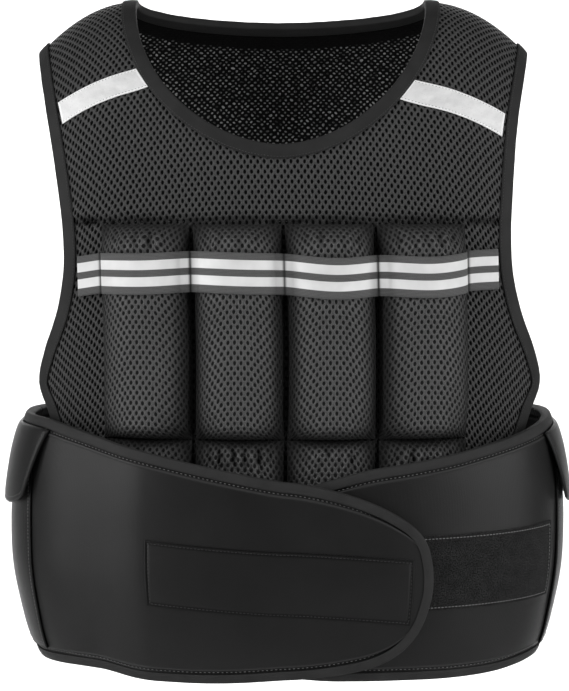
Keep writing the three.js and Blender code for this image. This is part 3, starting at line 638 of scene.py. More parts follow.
def band_material():
    """Grey webbing with two silver lines along it."""
    material, tree, shader = new_material("band_webbing", 0.55, 0.4)
    uv = cloth_uv(tree)
    split = tree.nodes.new("ShaderNodeSeparateXYZ")
    link(tree, uv, split.inputs[0])
    along_it, across = (math_node(tree, "MULTIPLY", split.outputs[axis], TO_MM) for axis in (0, 1))
    lines = []
    for low, high in ((5.6, 13.4), (18.8, 26.6)):
        after = map_range(tree, across, low, low + 0.25)
        before = map_range(tree, across, high, high - 0.25)
        lines.append(math_node(tree, "MULTIPLY", after, before))
    silver = math_node(tree, "MAXIMUM", *lines)
    ribs = math_node(tree, "SINE", math_node(tree, "MULTIPLY", across, 2 * math.pi / 1.1))
    cords = math_node(tree, "SINE", math_node(tree, "MULTIPLY", along_it, 2 * math.pi / 0.9))
    weave = math_node(tree, "ADD", math_node(tree, "MULTIPLY", ribs, 0.5),
                      math_node(tree, "MULTIPLY", cords, 0.35))
    speck = noise(tree, uv, 1500.0, 2.0)
    speckled = math_node(tree, "ADD", weave, math_node(tree, "MULTIPLY", speck, 1.6))
    webbing = mix_color(tree, map_range(tree, speckled, -0.3, 2.0), grey(0.035), grey(0.14))
    broad = map_range(tree, noise(tree, uv, 40.0, 3.0), 0.3, 0.7)
    shiny = mix_color(tree, broad, grey(0.66), grey(0.80))
    face = mix_color(tree, silver, webbing, shiny)
    # Painted shade: the band is darkened to near black along its creases.
    painted_crease_shade = map_range(tree, mark(tree, "painted_shade"), 0, 1, 0.0, 0.9)
    link(tree, mix_color(tree, painted_crease_shade, face, grey(0.01)), shader.inputs["Base Color"])
    link(tree, map_range(tree, silver, 0, 1, 0.7, 0.42), shader.inputs["Roughness"])
    height = mix_color(tree, silver, weave, math_node(tree, "MULTIPLY", speck, 0.4))
    add_bump(tree, shader, height, 0.00018, 0.8)
    return material


def thread_material(name, shade):
    material, tree, shader = new_material(name, 0.55, 0.4, sheen=0.2)
    fine = map_range(tree, noise(tree, object_place(tree), 2500.0, 2.0), 0.3, 0.7)
    link(tree, mix_color(tree, fine, grey(shade * 0.75), grey(shade * 1.25)), shader.inputs["Base Color"])
    return material


MESH = mesh_material("spacer_mesh", 0.104, 0.018, 0.1, 0.001)
POCKET_MESH = mesh_material("pocket_mesh", 0.102, 0.014, 0.38, 0.0007, 2.6, 3.7)
LINING = lining_material()
TAPE = tape_material("binding_tape", 0.02)
BELT_TAPE = tape_material("belt_binding_tape", 0.024)
BELT = belt_material()
PILE = pile_material()
SILVER = reflective_material()
BAND = band_material()
THREAD = thread_material("dark_thread", 0.02)
PALE_THREAD = thread_material("grey_thread", 0.17)


# Attaching the pieces to the root, and hiding the imported parts they stand for
def finished(obj, slot, *nodes):
    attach(obj, "root")
    if nodes:
        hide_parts(*nodes)


# Edges of the panels
ARM_SPANS, HEM_SPANS = 12, 8
RIM_LENGTH = 2 * ARM_SPANS + HEM_SPANS


def neck_place(share, side):
    angle = share * math.pi
    power = 2 / NECK_SQUARE
    x = NECK_SHIFT - NECK_HALF * np.sign(np.cos(angle)) * np.abs(np.cos(angle)) ** power
    drop = (NECK_DROP_FRONT if side > 0 else NECK_DROP_BACK) * np.abs(np.sin(angle)) ** power
    return x, turn_at(x, drop, side)


def arm_place(share, side, hand):
    drop = mix(ARM_EDGE[0, 0], 1, share**1.35)
    x = hand * SHOULDER_HALF * along(ARM_EDGE, 1, drop)
    turn = turn_at(x, drop * HEM_DROP, side)
    return x, np.where(share < 1e-6, 0.0, turn)


def rim_place(u, side):
    """The rim from the left shoulder's ridge down, along the hem and up to the right ridge."""
    left = arm_place(np.clip(u / ARM_SPANS, 0, 1), side, -1)
    right = arm_place(np.clip((RIM_LENGTH - u) / ARM_SPANS, 0, 1), side, 1)
    share = np.clip((u - ARM_SPANS) / HEM_SPANS, 0, 1)
    x = mix(-1, 1, share) * SHOULDER_HALF * ARM_EDGE[-1, 1]
    hem = (x, turn_at(x, HEM_DROP, side))
    pick = lambda a, b, c: np.where(u < ARM_SPANS, a, np.where(u > ARM_SPANS + HEM_SPANS, c, b))
    return pick(left[0], hem[0], right[0]), pick(left[1], hem[1], right[1])


def inward_steps(x, turn, ring, hand):
    """For each place of an edge, the step in x and turn that leads one millimetre inwards."""
    points = body_point(x, turn)
    if ring:
        run = unit(np.roll(points, -1, 0) - np.roll(points, 1, 0))
    else:
        run = unit(np.gradient(points, axis=0))
    by_x, by_turn = body_slopes(x, turn)
    inward = np.cross(run, unit(np.cross(by_turn, by_x))) * hand
    a, b, c = (by_x**2).sum(-1), (by_x * by_turn).sum(-1), (by_turn**2).sum(-1)
    px, pt = (inward * by_x).sum(-1), (inward * by_turn).sum(-1)
    whole = a * c - b * b
    return (c * px - b * pt) / whole, (a * pt - b * px) / whole


def panel_lengths(x, turn, side):
    """Lengths over a panel's cloth, read from an even table in x and turn."""
    reach, x_step, turn_reach, turn_step = 225, 3.0, 3.2, 0.02
    columns = np.arange(-reach, reach + 1, x_step)
    rows = np.arange(0, turn_reach, turn_step)
    level = np.full((len(rows), len(columns)), PANEL_WALL)
    lengths = cloth_lengths(on_body(columns[None, :], side * rows[:, None], level))
    column = np.clip((x + reach) / x_step, 0, len(columns) - 1.001)
    row = np.clip(np.abs(turn) / turn_step, 0, len(rows) - 1.001)
    c, r = column.astype(int), row.astype(int)
    c_share, r_share = (column - c)[..., None], (row - r)[..., None]
    upper = mix(lengths[r, c], lengths[r, c + 1], c_share)
    lower = mix(lengths[r + 1, c], lengths[r + 1, c + 1], c_share)
    return mix(upper, lower, r_share)


def panel_object(name, side):
    rays, rings = ((257, 111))
    u = np.linspace(0, RIM_LENGTH, rays)
    near_x, near_turn = neck_place(u / RIM_LENGTH, side)
    far_x, far_turn = rim_place(u, side)
    share = np.linspace(0, 1, rings)[None, :]
    x = mix(near_x[:, None], far_x[:, None], share)
    turn = mix(near_turn[:, None], far_turn[:, None], share)
    # Each panel stops half a clearance short of the shoulder seam.
    least = CLEARANCE / 2 / (np.abs(body_point(x, np.full_like(x, side))[..., 1]) * QUARTER)
    turn = side * np.maximum(least, np.abs(turn))
    drop = -body_point(x, turn)[..., 2]
    below = drop - SEAM_DROP[side]
    # The seam over the pockets is a groove under a soft roll, with puckers that run out below it.
    fading = np.exp(-np.maximum(0, below) / 10.0)
    pucker = ripple(np.stack([x, 0.15 * below, 0 * x], -1), 11, 70 + side) * fading
    groove = -2.3 * np.exp(-((below / 2.4) ** 2))
    roll = 1.2 * np.exp(-(((below + 7) / 4.5) ** 2))
    inner = on_body(x, turn, np.zeros_like(x))
    outer = on_body(x, turn, PANEL_WALL + (groove + roll + pucker * ease(below / 3)))
    # Painted shade: the panel is darkened behind the pockets and along the seam's groove over them.
    in_columns = np.abs(x - POCKET_SHIFT) < 2 * POCKET_PITCH - 2
    behind = (below > 3) & in_columns & (drop < LOWER_TOP + LOWER_HEIGHT)
    painted_shade = np.where(behind, 0.9, np.exp(-((below / 3.2) ** 2)) * (0.75 + 0.25 * pucker))
    marks = {"from_edge": run_length(outer, 1), "painted_shade": painted_shade}
    lengths = panel_lengths(x, turn, side)
    obj = wall_object(name + "_cloth", inner, outer, lengths, [MESH, LINING], inside=1, marks=marks)
    finished(obj, "spacer_mesh", name)


# Bound edges
def folded_profile(wall, width, tape, gap):
    """Corners of a tape folded over an edge, with a rounded nose and rolled rims."""
    top, bottom = wall + CLEARANCE, -gap
    reach, rolled, arch = CLEARANCE + tape, 0.45, 0.28
    middle, half = (top + bottom) / 2, (top - bottom) / 2 + tape
    under = width - tape
    nose, crown, roll, low = [], [], [], []
    for a in np.linspace(0, math.pi, 9):
        nose.append((-reach * math.sin(a) ** 0.7, middle + half * math.cos(a)))
    for share in (0.1, 0.3, 0.5, 0.7, 0.9):
        crown.append((mix(0.6, width - 0.9, share), top + tape + arch * math.sin(math.pi * share)))
    for a in np.linspace(0, math.pi, 5):
        out, up = rolled * (math.sin(a) - 1), tape * (0.5 + 0.5 * math.cos(a))
        roll.append((width + out, top + up))
        low.append((under + out, bottom - up))
    return np.array(
        [(width - 0.3, top), (-CLEARANCE, top), (-CLEARANCE, bottom), (under - 0.3, bottom)]
        + low[::-1][1:-1] + [(under - 0.9, bottom - tape), (0.3, bottom - tape)]
        + nose[::-1] + crown + roll[:-1]
    )


def body_binding(name, x, turn, ring, hand):
    """A tape folded over an edge of the panels, with a row of stitches near its inner rim."""
    step_x, step_turn = inward_steps(x, turn, ring, hand)
    profile = folded_profile(PANEL_WALL, BINDING_WIDTH, BINDING_WALL, HOOKED_GAP)
    across, height = profile[:, 0][None, :], profile[:, 1][None, :]
    px = x[:, None] + across * step_x[:, None]
    pt = turn[:, None] + across * step_turn[:, None]
    centre = body_point(x, turn)
    pucker = 0.16 * ripple(centre, 16, 5)[:, None] * (height > 2)
    stations = on_body(px, pt, height + pucker)
    run = run_length(centre)
    around = np.r_[0, np.cumsum(np.hypot(*np.diff(profile, axis=0).T))]
    obj = carried_object(name + "_tape", stations, ring, run, around, [TAPE])
    finished(obj, "binding_tape", name)
    inside = BINDING_WIDTH - TAPE_STITCH
    level = np.full_like(x, PANEL_WALL + CLEARANCE + BINDING_WALL + 0.2)
    row = on_body(x + inside * step_x, turn + inside * step_turn, level)
    stitches(name.replace("binding", "stitches"), [(row, ring)], "binding_tape",
             pitch=2.6, length=1.8, thick=0.5)


NECK_STATIONS = 260
ARM_STATIONS = 200


def neck_ring():
    share = np.linspace(0, 1, NECK_STATIONS // 2 + 1)
    front = neck_place(share, 1)
    back = neck_place(share[1:-1][::-1], -1)
    turn = np.concatenate([front[1], back[1]])
    turn[[0, NECK_STATIONS // 2]] = 0
    return np.concatenate([front[0], back[0]]), turn


def arm_run(hand):
    share = np.linspace(0, 1, ARM_STATIONS // 2)
    front = arm_place(share[::-1], 1, hand)
    back = arm_place(share[1:], -1, hand)
    return np.concatenate([front[0], back[0]]), np.concatenate([front[1], back[1]])


# Pockets
def pocket_swell(across, down, depth, height):
    """Height of a filled pocket over the panel: round across, and closing at both ends."""
    side = np.maximum(0, 1 - np.abs(2 * across - 1) ** 2.4) ** 0.62
    head = np.clip(down * height / (0.9 * depth), 0, 1)
    foot = np.clip((1 - down) * height / (0.55 * depth), 0, 1)
    return depth * side * np.sqrt(1 - (1 - head) ** 2) * np.sqrt(1 - (1 - foot) ** 2)


def crowded(share):
    """Shares that lie closer together towards both ends."""
    return 0.5 - 0.5 * np.cos(share * math.pi)


def pocket_across(share):
    return mix(share, crowded(share), 0.5)


def pocket_centre(column):
    return (column - 1.5) * POCKET_PITCH + POCKET_SHIFT


def band_end():
    """How far a band reaches from the middle."""
    return SHOULDER_HALF * float(along(ARM_EDGE, 1, BAND_DROP / HEM_DROP)) - BINDING_WIDTH - 2


def band_rise(x, side):
    """How far a band's middle line lies above its level. Only the front one waves."""
    return along(BAND_LINE, 1, x / band_end()) * BAND_WIDTH if side > 0 else np.zeros_like(x)


def gathers(across, down, height, seed):
    """Puffs of a gathered top edge that run out below it, and slight lumps of the filling."""
    rng = np.random.default_rng(seed)
    below = down * height
    fade = np.exp(-((below - 10) / 13.0) ** 2) * ease(below / 6)
    wave = np.zeros_like(across)
    for _ in range(4):
        count = rng.uniform(3.5, 8.5)
        lean = rng.uniform(-0.8, 0.8)
        wave += np.sin(2 * math.pi * (count * across + lean * below / 40) + rng.random() * ANY_PHASE)
    folds = 1.15 * wave * fade
    lump = np.zeros_like(across)
    for _ in range(5):
        kx, ky = rng.uniform(0.3, 1.3), rng.uniform(0.6, 2.6)
        lump += np.sin(2 * math.pi * (kx * across + ky * down) + rng.random() * ANY_PHASE)
    crease = np.exp(-((height - below - 16) / 14.0) ** 2)
    low = np.sin(2 * math.pi * (rng.uniform(2.5, 4.0) * across + 0.5 * down) + rng.random() * ANY_PHASE)
    room = np.minimum(1, 4 * np.minimum(across, 1 - across))
    return (folds + 0.42 * lump + 0.5 * low * crease) * room


def pocket_form(name, column, side, upper, seed):
    """The cloth of one pocket, laid evenly over its filling."""
    top = UPPER_TOP[side] if upper else LOWER_TOP
    height, depth = (UPPER_HEIGHT, UPPER_DEPTH) if upper else (LOWER_HEIGHT, LOWER_DEPTH)
    # The two rows meet in one seam, where the upper pockets' ends hang over the lower ones'.
    if upper and side > 0:
        height += UPPER_HANG
    elif not upper:
        top, height = top - LOWER_RISE, height + LOWER_RISE
    rows, columns = ((97, 53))
    evenly = np.linspace(0, 1, rows)
    down = mix(evenly, crowded(evenly), 0.75)[:, None]
    across = pocket_across(np.linspace(0, 1, columns))[None, :]
    down, across = np.broadcast_arrays(down, across)
    below, above = down * height, (1 - down) * height
    drop = top + below
    x = pocket_centre(column) + (across - 0.5) * POCKET_WIDTH
    turn = turn_at(x, drop, side)
    near_side = np.minimum(across, 1 - across) * POCKET_WIDTH
    near_end = np.minimum(below, above)
    corner = np.maximum(0, 1 - near_side / POCKET_CORNER_WIDE)
    corner = corner * np.maximum(0, 1 - near_end / POCKET_CORNER_TALL)
    swell = pocket_swell(across, down, depth, height) * np.sqrt(1 - np.clip(1.15 * corner, 0, 1))
    # Painted shade: the colour is darkened along the seams, down the sides and in the corners, where the
    # cloth lies deep.
    painted_shade = np.max([
        np.exp(-((near_side / 9.5) ** 2)),
        np.exp(-((below / 5.5) ** 2)),
        np.exp(-((above / 8.0) ** 2)),
        np.clip(1.5 * corner, 0, 1),
    ], axis=0)
    rough = gathers(across, down, height, seed)
    held = np.zeros_like(x)
    if upper:
        # The band holds the cloth down where it crosses the pocket, which puffs beside it.
        beyond = np.abs(drop - BAND_DROP + band_rise(x, side)) - 0.5 * BAND_WIDTH
        held = np.exp(-np.maximum(0, beyond - 0.5) / 2.5)
        rough = mix(rough, np.full_like(rough, -0.7), held)
        puffed = np.exp(-(((beyond - 9) / 8.0) ** 2)) * np.minimum(1, 3 * near_side / POCKET_WIDTH)
        rough = rough + np.where(drop < BAND_DROP, 2.4, 1.5) * puffed
    lift = np.maximum(swell + rough * np.clip(swell / (0.35 * depth), 0, 1), 0)
    base = PANEL_WALL + POCKET_SEAT
    even = on_body(x, turn, base + POCKET_EDGE + swell)
    return dict(
        name=name, lengths=cloth_lengths(even), painted_shade=painted_shade, below=below, above=above, held=held,
        inner=on_body(x, turn, np.full_like(x, base)),
        outer=on_body(x, turn, base + POCKET_EDGE + lift),
    )


def trial_cloth(form):
    """A coarse copy of a pocket's cloth, sewn down at its rim and slack near its ends."""
    grid, held = form["outer"][::2, ::2], form["held"][::2, ::2]
    rows, columns = grid.shape[:2]
    r, c = np.meshgrid(np.arange(rows - 1), np.arange(columns - 1), indexing="ij")
    a = (r * columns + c).ravel()
    faces = np.stack([a, a + columns, a + columns + 1, a + 1], 1)
    i, j = rows // 2, columns // 2
    normal = np.cross(grid[i + 1, j] - grid[i, j], grid[i, j + 1] - grid[i, j])
    if normal @ (grid[i, j] - form["inner"][::2, ::2][i, j]) < 0:
        faces = faces[:, ::-1]
    obj = mesh_object(form["name"] + "_trial", grid.reshape(-1, 3), faces.tolist())
    sewn = np.clip((held - 0.35) / 0.5, 0, 1)
    sewn[[0, -1]] = 1
    sewn[:, [0, -1]] = 1
    sewn[:, [1, -2]] = np.maximum(sewn[:, [1, -2]], 0.35)
    near_top = np.exp(-(((form["below"] - 14) / 15.0) ** 2))
    near_foot = np.exp(-(((form["above"] - 14) / 16.0) ** 2))
    slack = np.clip(0.25 + 0.75 * near_top + 0.45 * near_foot, 0, 1)[::2, ::2]
    for label, weights in (("sewn", sewn), ("slack", slack)):
        group = obj.vertex_groups.new(name=label)
        for index, weight in enumerate(weights.ravel()):
            group.add([index], float(weight), "REPLACE")
    cloth = obj.modifiers.new("cloth", "CLOTH")
    settings = cloth.settings
    settings.quality = 6
    settings.mass = 0.25
    settings.tension_stiffness = settings.compression_stiffness = 12
    settings.shear_stiffness = 5
    settings.bending_stiffness = 0.15
    settings.vertex_group_mass = "sewn"
    settings.vertex_group_shrink = "slack"
    settings.shrink_min = 0.0
    settings.shrink_max = -SLACK
    settings.use_pressure = True
    settings.uniform_pressure_force = FILLING_PRESSURE
    settings.effector_weights.gravity = 0
    return obj


def settle(forms):
    """Lets the cloth of all pockets swell and buckle, then adds how far it moved."""
    scene = bpy.context.scene
    trials = [trial_cloth(form) for form in forms]
    for frame_number in range(1, SETTLE_FRAMES + 1):
        scene.frame_set(frame_number)
    graph = bpy.context.evaluated_depsgraph_get()
    for form, trial in zip(forms, trials):
        grid = form["outer"][::2, ::2]
        mesh = trial.evaluated_get(graph).to_mesh()
        points = np.empty(len(mesh.vertices) * 3)
        mesh.vertices.foreach_get("co", points)
        moved = points.reshape(grid.shape) / MM - grid
        moved *= np.minimum(1, MOST_MOVED / np.maximum(np.linalg.norm(moved, axis=-1, keepdims=True), 1e-6))
        moved[..., 0] = np.clip(moved[..., 0], -1.6, 1.6)
        fine = np.empty_like(form["outer"])
        fine[::2, ::2] = moved
        fine[1::2, ::2] = (moved[1:] + moved[:-1]) / 2
        fine[:, 1::2] = (fine[:, :-1:2] + fine[:, 2::2]) / 2
        form["outer"] = form["outer"] + fine * (1 - form["held"])[..., None]
    for trial in trials:
        mesh = trial.data
        bpy.data.objects.remove(trial)
        bpy.data.meshes.remove(mesh)
    scene.frame_set(1)


def weight_pocket(form):
    obj = wall_object(form["name"] + "_cloth", form["inner"], form["outer"], form["lengths"], [POCKET_MESH],
                      marks={"painted_shade": form["painted_shade"]})
    finished(obj, "spacer_mesh", form["name"])


# Reflective tapes
def band_object(name, side):
    valleys = (np.arange(5) - 2) * POCKET_PITCH + POCKET_SHIFT
    spread = np.linspace(-band_end(), band_end(), 230)
    spread = spread[np.abs(spread[:, None] - valleys).min(1) > 9.5]
    step = np.linspace(-1, 1, 33)
    x = np.sort(np.concatenate([spread] + [valley + 9 * step * np.abs(step) for valley in valleys]))
    from_valley = np.abs(x[:, None] - valleys).min(1)
    from_middle = np.abs(x - POCKET_SHIFT)
    across = np.clip((from_valley - 0.5 * (POCKET_PITCH - POCKET_WIDTH)) / POCKET_WIDTH, 0, 0.5)
    down = (BAND_DROP - UPPER_TOP[side]) / UPPER_HEIGHT
    on_pocket = pocket_swell(across, down, UPPER_DEPTH, UPPER_HEIGHT)
    swell = np.where(from_middle < 2 * POCKET_PITCH, on_pocket, 0)
    # Between two pockets the band spans the gap as a narrow fold.
    fold = UPPER_DEPTH * np.minimum(0.3 + 0.03 * from_valley, 0.48)
    swell = np.where(from_middle < 1.5 * POCKET_PITCH, np.maximum(swell, fold), swell)
    # Painted shade: a dark line down the band where it creases in each valley between pockets.
    painted_crease_shade = np.where(from_middle < 2.2 * POCKET_PITCH, np.exp(-((from_valley / 1.2) ** 2)), 0)
    share = np.linspace(-0.5, 0.5, 15)
    base = PANEL_WALL + POCKET_SEAT + POCKET_EDGE + 2 * CLEARANCE
    drop = BAND_DROP - band_rise(x, side)[:, None] + share[None, :] * BAND_WIDTH
    grid_x, flat, painted_shade = (np.repeat(row[:, None], len(share), 1) for row in (x, swell, painted_crease_shade))
    turn = turn_at(grid_x, drop, side)
    inner, outer = on_body(grid_x, turn, base + flat), on_body(grid_x, turn, base + flat + BAND_WALL)
    run = run_length(outer, 0)
    uv = np.stack([run, np.broadcast_to((share + 0.5)[None, :] * BAND_WIDTH, run.shape)], -1)
    obj = wall_object(name + "_webbing", inner, outer, uv, [BAND], marks={"painted_shade": painted_shade})
    finished(obj, "band_webbing", name)


def stripe_object(name, hand):
    """A reflective tape over a strap, from the neck's tape to the arm's, stitched along both sides."""
    columns, rows = 90, 15
    share = np.linspace(0, 1, columns)[None, :]
    part = np.linspace(0, 1, rows)[:, None]
    per_turn = CHEST_FALL * 0.82 * QUARTER
    middle = STRIPE_TURN[hand] - 0.5 * STRIPE_TILT
    turn = middle + (part - 0.5) * STRIPE_WIDTH / per_turn * mix(0.74, 1, share)
    fall = CHEST_FALL * (1 - np.cos(turn * QUARTER))
    neck_share = (1 - (fall / NECK_DROP_FRONT) ** NECK_SQUARE) ** (1 / NECK_SQUARE)
    ridge = -ridge_height(np.array(hand * SHOULDER_HALF * 0.9))
    out = SHOULDER_HALF * along(ARM_EDGE, 1, (fall + ridge) / HEM_DROP)
    start = NECK_HALF * neck_share + hand * NECK_SHIFT + 1.2 * BINDING_WIDTH
    stop = out - 1.15 * BINDING_WIDTH
    x = hand * mix(start, stop, share)
    full_turn = turn + STRIPE_TILT * share + 0.075 * share * (1 - share) + 0 * x
    base = PANEL_WALL + CLEARANCE
    inner = on_body(x, full_turn, np.full_like(x, base))
    wavy = 0.25 + 0.22 * ripple(inner, 14, 31 + hand)
    outer = on_body(x, full_turn, base + STRIPE_WALL + wavy * 0.6)
    length = run_length(outer, 1)
    width = run_length(outer, 0)
    from_edge = np.minimum(np.minimum(width, width[-1:] - width), np.minimum(length, length[:, -1:] - length))
    uv = np.stack([length, width], -1)
    obj = wall_object(name + "_tape", inner, outer, uv, [SILVER], marks={"from_edge": from_edge})
    finished(obj, "reflective_tape", name)
    sides = [(outer[row, 2:-2], False) for row in (1, -2)]
    stitches(name + "_stitches", sides, "reflective_tape", PALE_THREAD, pitch=2.8, length=1.6, thick=0.5)


# Belt
def fine_rows(rows, parts):
    """Turns between a table's rows, each span in as many parts."""
    turns = rows[:, 0]
    spans = [np.linspace(a, b, parts, endpoint=False) for a, b in zip(turns[:-1], turns[1:])]
    return np.concatenate(spans + [turns[-1:]])


def belt_wall(name, turn, top, bottom, lift, seed):
    # Rows lie close together along both bound edges, where the cloth is stitched.
    near = np.array([0, 3, 6, 6.6, 7.1, 7.6, 8.1, 8.6, 9.1, 9.6, 10.1, 10.6, 11.2, 12, 14, 17])
    tall = (bottom - top)[:, None]
    start = near[None, :] * np.minimum(1, 0.42 * tall / near[-1])
    centre = mix(start[:, -1:], tall - start[:, -1:], np.linspace(0, 1, 25)[None, 1:-1])
    drop = top[:, None] + np.concatenate([start, centre, tall - start[:, ::-1]], 1)
    rows = drop.shape[1]
    full = np.repeat(turn[:, None], rows, 1)
    raised = np.repeat(lift(turn)[:, None], rows, 1)
    inner = on_belt(full, drop, raised)
    middle = on_belt(full, drop, raised + BELT_WALL)
    edge = np.minimum(drop - top[:, None], bottom[:, None] - drop)
    beyond = np.maximum(0, edge - BELT_BINDING_WIDTH)
    groove = 0.85 * np.exp(-((beyond - 1.6) / 0.8) ** 2) - 0.5 * np.exp(-((beyond - 3.7) / 0.8) ** 2)
    puff = 0.6 * (1 - np.exp(-beyond / 4.0)) - groove
    soft = 0.28 * ripple(middle, 120, seed) * (1 - np.exp(-beyond / 20.0))
    outer = on_belt(full, drop, raised + BELT_WALL + puff * (edge > BELT_BINDING_WIDTH * 0.8) + soft)
    length = run_length(middle, 0)
    uv = np.stack([length, drop], -1)
    # Painted shade in the groove beside the binding, and a painted highlight, marked raised, along the ridge
    # beyond the groove.
    painted_shade = np.exp(-(((beyond - 1.4) / 1.1) ** 2))
    ridge = np.exp(-(((beyond - 3.6) / 0.9) ** 2))
    obj = wall_object(name + "_cloth", inner, outer, uv, [BELT], marks={"painted_shade": painted_shade, "raised": ridge})
    finished(obj, "belt_cloth", name)


def belt_binding(name, turn, drop, lift, hand):
    """A tape folded over an edge of the belt, and the row of stitches in the groove beside it."""
    points = belt_point(turn, drop)
    run = unit(np.gradient(points, axis=0))
    by_turn = belt_point(turn + 0.5, drop) - belt_point(turn - 0.5, drop)
    per_turn = np.linalg.norm(by_turn, axis=-1)
    run_turn = (run * unit(by_turn)).sum(-1)
    run_drop = -run[:, 2]
    size = np.hypot(run_turn, run_drop)
    step_turn = -hand * run_drop / size / per_turn
    step_drop = hand * run_turn / size
    profile = folded_profile(BELT_WALL, BELT_BINDING_WIDTH, BELT_BINDING_WALL, HOOKED_GAP)
    across, height = profile[:, 0][None, :], profile[:, 1][None, :]
    px = turn[:, None] + across * step_turn[:, None]
    pd = drop[:, None] + across * step_drop[:, None]
    raised = np.repeat(lift(turn)[:, None], len(profile), 1)
    stations = on_belt(px, pd, height + raised)
    length = run_length(on_belt(turn, drop, lift(turn)))
    around = np.r_[0, np.cumsum(np.hypot(*np.diff(profile, axis=0).T))]
    obj = carried_object(name + "_tape", stations, False, length, around, [BELT_TAPE])
    finished(obj, "binding_tape", name)
    step, in_groove = BELT_BINDING_WIDTH + TAPE_STITCH, -0.5
    level = lift(turn) + BELT_WALL + in_groove
    return on_belt(turn + step * step_turn, drop + step * step_drop, level)


def belt_patch(name, cloth, size, lift, material, slot):
    """A patch sewn flat on a wing. Gives the points of its face."""
    lengthwise, crosswise = np.linspace(0, 1, 110), np.linspace(0, 1, 51)
    turns = mix(size["start"], size["end"], mix(lengthwise, crowded(lengthwise), 0.85))
    share = mix(crosswise, crowded(crosswise), 0.85)[None, :]
    start = size["top"] + size["slant"] * (turns - size["start"]) / (size["end"] - size["start"])
    drop = start[:, None] + share * size["height"]
    full = np.repeat(turns[:, None], share.shape[1], 1)
    level = np.repeat(lift(turns)[:, None], share.shape[1], 1) + BELT_WALL + PATCH_SEAT
    inner, outer = on_belt(full, drop, level), on_belt(full, drop, level + size["wall"])
    length = run_length(outer, 0)
    down = share * size["height"] + 0 * drop
    near_side = np.minimum(down, size["height"] - down)
    from_edge = np.minimum(near_side, np.minimum(length, length[-1:] - length))
    relief = 0.35 * ease(from_edge / 1.2) - 0.6 * np.exp(-(((from_edge - 2.4) / 0.9) ** 2))
    relief = relief + 0.12 * ripple(outer, 60, 81) * ease(from_edge / 8)
    outer = on_belt(full, drop, level + size["wall"] + relief)
    # Painted shade along the patch's rim and in the groove just inside it.
    painted_shade = np.exp(-(((from_edge - 2.7) / 1.1) ** 2)) + np.exp(-((from_edge / 1.8) ** 2))
    uv = np.stack([length, drop], -1)
    obj = wall_object(f"{name}_{cloth}", inner, outer, uv, [material], marks={"painted_shade": painted_shade})
    finished(obj, slot, name)
    return outer


def three_sides(place, side, foot, up):
    """A run down one side of a pocket or flap, along its foot and up the other side."""
    t = np.linspace(0, 1, 120)
    down, level = t * (1 - foot), np.full_like(t, 1 - foot)
    return np.concatenate([
        place(np.full_like(t, side), down, up),
        place(mix(side, 1 - side, t), level, up),
        place(np.full_like(t, 1 - side), down[::-1], up),
    ])


def side_pocket(name, hand):
    front = SIDE_POCKET_FRONT[hand]

    def place(share, down, up):
        fullness = mix(0.5, 1, ease(3 * down)) * (1 - down**4)
        swell = SIDE_POCKET["bulge"] * np.sin(math.pi * share) * fullness
        turn = hand * (front + share * SIDE_POCKET["turns"])
        drop = mix(SIDE_POCKET["mouth"], SIDE_POCKET["bottom"], down)
        return on_belt(turn, drop, BELT_WALL + PATCH_SEAT + SHEET_STAND + swell + up)

    share, down = np.broadcast_arrays(np.linspace(0, 1, 72)[:, None], np.linspace(0, 1, 52)[None, :])
    near_side = np.minimum(share, 1 - share) * SIDE_POCKET_WIDE
    rim = np.minimum(near_side, np.minimum(down, 1 - down) * SIDE_POCKET_TALL)
    seam = -0.5 * np.exp(-((rim - 4) / 1.2) ** 2)
    inner = place(share, down, 0.0)
    outer = place(share, down, SIDE_POCKET["wall"] + seam + 0.2 * ripple(inner, 70, 50 + hand))
    length = run_length(outer, 0)
    # Painted shade in the seam's groove and along the pocket's rim.
    painted_shade = np.exp(-(((rim - 3.8) / 0.8) ** 2)) + np.exp(-((rim / 0.6) ** 2))
    drop = mix(SIDE_POCKET["mouth"], SIDE_POCKET["bottom"], down)
    lengths = np.stack([length, drop], -1)
    obj = wall_object(name + "_cloth", inner, outer, lengths, [BELT], marks={"painted_shade": painted_shade})
    finished(obj, "belt_cloth", name)
    return three_sides(place, SIDE_POCKET_STITCH / SIDE_POCKET_WIDE, SIDE_POCKET_STITCH / SIDE_POCKET_TALL,
                       SIDE_POCKET["wall"] + 0.1)


